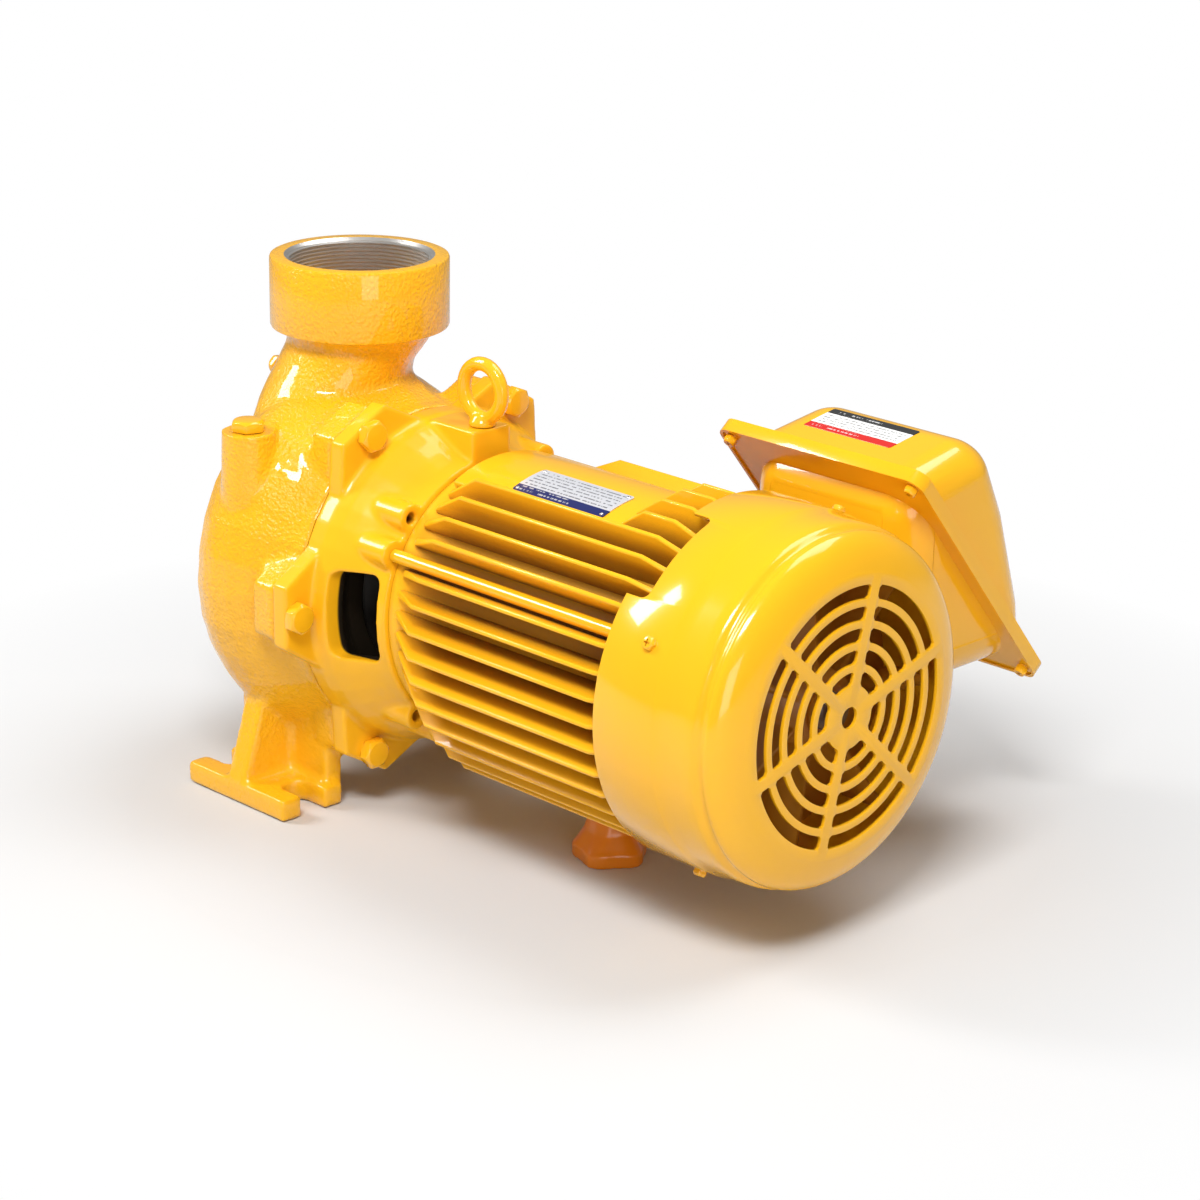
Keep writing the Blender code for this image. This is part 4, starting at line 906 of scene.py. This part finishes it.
def barsPaint(name, centre, across, down, size, ground, bands, ink, rough, metal):
    # a ground with coloured bands along its edges and rows of broken bars in place of words
    paint = Paint(name, ground, rough, metal, coat=0.3)
    u = paint.along(centre, across)
    v = paint.along(centre, down)
    wide, high = size
    row = paint.node("ShaderNodeMath", {"operation": "FRACT"}, {0: (v + high) / bars["pitch"]})
    line = paint.node("ShaderNodeMath", {"operation": "FLOOR"}, {0: (v + high) / bars["pitch"]})
    mark = paint.node("ShaderNodeCombineXYZ", None, {"X": u / bars["step"], "Y": line * bars["shift"]})
    broken = paint.node("ShaderNodeTexNoise", None, {
        "Vector": mark, "Scale": bars["scale"], "Detail": 2.0}, output="Fac")
    field = u.within(-wide * 0.46, wide * 0.46) * v.within(-high * 0.45, high * 0.45)
    colour = paint.blend(row.within(0.3, 0.62) * (broken > 0.47) * field * 0.8, (*ground, 1.0), (*ink, 1.0))
    for low, top, band in bands:
        colour = paint.blend(v.within(low, top), colour, (*band, 1.0))
        field = v.within(low + 0.8, top - 0.8) * u.within(-wide * 0.44, wide * 0.1)
        light = row.within(0.3, 0.7) * (broken > 0.5) * field * 0.7
        colour = paint.blend(light, colour, (0.8, 0.8, 0.8, 1.0))
    paint.set("Base Color", colour)
    return paint


def makePlate():
    # cut into strips while flat, then bent round the motor
    p = plate
    across, tall = p["x"][1] - p["x"][0], math.radians(p["angles"][1] - p["angles"][0]) * p["radius"]
    middle = sum(p["angles"]) / 2
    sheet = slab("ratingPlate", roundCorners(across, tall, 2.0, 3), p["thick"])
    take(sheet)
    bpy.ops.object.mode_set(mode="EDIT")
    for k in range(1, p["strips"]):
        bpy.ops.mesh.select_all(action="SELECT")
        bpy.ops.mesh.bisect(plane_co=(0, (k / p["strips"] - 0.5) * tall * mm, 0), plane_no=(0, 1, 0))
    endEdit()
    for vert in sheet.data.vertices:
        angle = middle - math.degrees(vert.co.y / mm / p["radius"])
        vert.co = ringSpot(angle, p["radius"] + vert.co.z / mm, sum(p["x"]) / 2 + vert.co.x / mm)
    shade(sheet, 30)
    centre = ringSpot(middle, p["radius"], sum(p["x"]) / 2)
    paint = barsPaint("plateMetal", centre, (1, 0, 0), outward(middle + 90), (across, tall), p["ground"],
                      [(tall * 0.26, tall * 0.5, p["blue"])], p["ink"], p["rough"], p["metal"])
    fit(sheet, "pump", paint, "motor_frame")
    rivets = []
    for sx in (-1, 1):
        for sy in (-1, 1):
            angle = middle + sy * (math.degrees(tall / 2 / p["radius"]) - 1.6)
            x = sum(p["x"]) / 2 + sx * (across / 2 - 2.6)
            where = standing(ringSpot(angle, p["radius"] + p["thick"] - 0.1, x), outward(angle))
            rivets.append(turned("rivet%d%d" % (sx + 1, sy + 1), rivet, where, 16))
    pins = gather("plateRivets", rivets)
    shade(pins, 60)
    fit(pins, "pump", barePaint, "motor_frame")
    print("rating plate ready")


def makeLabel():
    # lies on the lid's sloping wall
    n = label
    at = splitFrame()
    foot, top = lidWall()
    run = (top - foot).normalized()
    face = Vector((0, -run.z, run.y))
    high, wide = n["high"], n["x"][1] - n["x"][0]
    mid = at @ ((foot + run * (n["start"] + high / 2) + face * 0.05) * mm)
    mid.x = spot(sum(n["x"]) / 2, 0, 0).x
    up, out = at.to_3x3() @ run, at.to_3x3() @ face
    right = Vector((1, 0, 0))
    if right.cross(up).dot(out) < 0:
        right = Vector((-1, 0, 0))
    turn = Matrix((right, up, right.cross(up))).transposed().to_4x4()
    sticker = slab("boxLabel", roundCorners(wide, high, 1.2, 3), n["thick"], Matrix.Translation(mid) @ turn)
    shade(sticker, 30)
    paint = barsPaint("labelPrint", mid, (1, 0, 0), -up, (wide, high), n["ground"],
                      [(high * 0.26, high * 0.5, n["red"]), (-high * 0.5, -high * 0.27, n["black"])],
                      n["ink"], n["rough"], n["metal"])
    fit(sticker, "pump", paint, "terminal_box_cover")
    print("box label ready")


# What shows through the openings keeps its CAD shape, smoothed

def makeInside():
    fanPaint = Paint("fanPlastic", (0.50, 0.20, 0.012), 0.4)
    fanPaint.bump(fanPaint.noise(150.0, 2.0), 0.0003, 0.3)
    ironPaint = Paint("wetIron", (0.22, 0.19, 0.16), 0.45, 0.6)
    ironPaint.bump(ironPaint.noise(200.0, 3.0), 0.0006, 0.5)
    darkPaint = Paint("primedIron", (0.02, 0.015, 0.01), 0.6)
    # the casing's gasket seam in enamel, its joint darkened by the same painted shade and grime
    seamPaint = enamelPaint("seamEnamel", 0.35, 0.3, 0.3, 200.0, 0.0005, 1.0, 0.01)
    for node, body, paint in (
            ("cooling_fan", "rotor", fanPaint), ("fan_clip", "rotor", fanPaint),
            ("rotor_shaft", "rotor", ironPaint), ("impeller", "rotor", ironPaint),
            ("impeller_nut", "rotor", barePaint), ("seal_ring", "rotor", barePaint),
            ("back_plate", "pump", darkPaint), ("casing_gasket", "pump", seamPaint),
            ("rear_shield", "pump", finPaint), ("support_stud", "pump", barePaint)):
        words = node.split("_")
        obj = nodeCopy(node, words[0] + "".join(w.title() for w in words[1:]) + "Smooth")
        shade(obj, 35)
        fit(obj, body, paint, node, node)
    print("inner pieces ready")


# Floor, backdrop and lamps

white = (1.0, 1.0, 1.0, 1.0)
floorLook = dict(size=12.0, colour=(0.62, 0.62, 0.62), nearClear=0.28, farClear=0.56)
skyLight = 0.22
lampAim = (0, 0, 0.12)


def makeStage():
    # the floor keeps the shadow near the pump and fades to plain white round it
    bpy.ops.object.select_all(action="DESELECT")
    bpy.ops.mesh.primitive_plane_add(size=floorLook["size"], location=(0.0, 0.0, 0.0))
    floor = bpy.context.object
    floor.name = "studioFloor"
    paint = Paint("studioFloorPaint", floorLook["colour"], 0.9)
    seen = paint.node("ShaderNodeLightPath", output="Is Camera Ray")
    away = paint.node("ShaderNodeVectorMath", {"operation": "LENGTH"}, {0: paint.place()}, "Value")
    glow = paint.node("ShaderNodeEmission", None, {"Color": white, "Strength": 1.0})
    amount = seen * away.over(floorLook["nearClear"], floorLook["farClear"])
    body = Term(paint, paint.shader.outputs[0])
    mixed = paint.node("ShaderNodeMixShader", None, {0: amount, 1: body, 2: glow})
    out = paint.tree.nodes["Material Output"]
    paint.tree.links.new(mixed.socket, out.inputs["Surface"])
    paint.cover(floor)
    world = bpy.data.worlds.new("studio")
    bpy.context.scene.world = world
    world.use_nodes = True
    tree = world.node_tree
    back = tree.nodes["Background"]
    back.inputs["Color"].default_value = white
    back.inputs["Strength"].default_value = skyLight
    clear = tree.nodes.new("ShaderNodeBackground")
    clear.inputs["Color"].default_value = white
    clear.inputs["Strength"].default_value = 1.0
    path = tree.nodes.new("ShaderNodeLightPath")
    mix = tree.nodes.new("ShaderNodeMixShader")
    tree.links.new(path.outputs["Is Camera Ray"], mix.inputs[0])
    tree.links.new(back.outputs[0], mix.inputs[1])
    tree.links.new(clear.outputs[0], mix.inputs[2])
    tree.links.new(mix.outputs[0], tree.nodes["World Output"].inputs["Surface"])
    print("stage ready")


lamps = [
    dict(name="leftSoftbox", at=(-1.5, -1.05, 1.5), size=(0.45, 0.9), watts=26.0),
    dict(name="frontSoftbox", at=(0.72, -1.12, 1.70), size=(0.75, 0.4), watts=32.0),
    dict(name="topSoftbox", at=(0.35, 0.8, 2.0), size=(1.2, 1.2), watts=24.0),
    dict(name="lowSoftbox", at=(2.0, -1.2, 0.5), size=(0.9, 0.9), watts=9.0),
]


def makeLamps():
    for lamp in lamps:
        data = bpy.data.lights.new(lamp["name"], "AREA")
        data.shape = "RECTANGLE"
        data.size, data.size_y = lamp["size"]
        data.energy = lamp["watts"]
        obj = bpy.data.objects.new(lamp["name"], data)
        obj.location = lamp["at"]
        obj.rotation_euler = (Vector(lampAim) - obj.location).to_track_quat("-Z", "Y").to_euler()
        bpy.context.scene.collection.objects.link(obj)
    print("lamps ready")


makeCamera()
makeStage()
makeLamps()
makeCasing()
makeBracket()
makeBolts()
makeMotor()
makeCover()
makeBase()
makeLid()
makeScrews()
makePlate()
makeLabel()
makeInside()
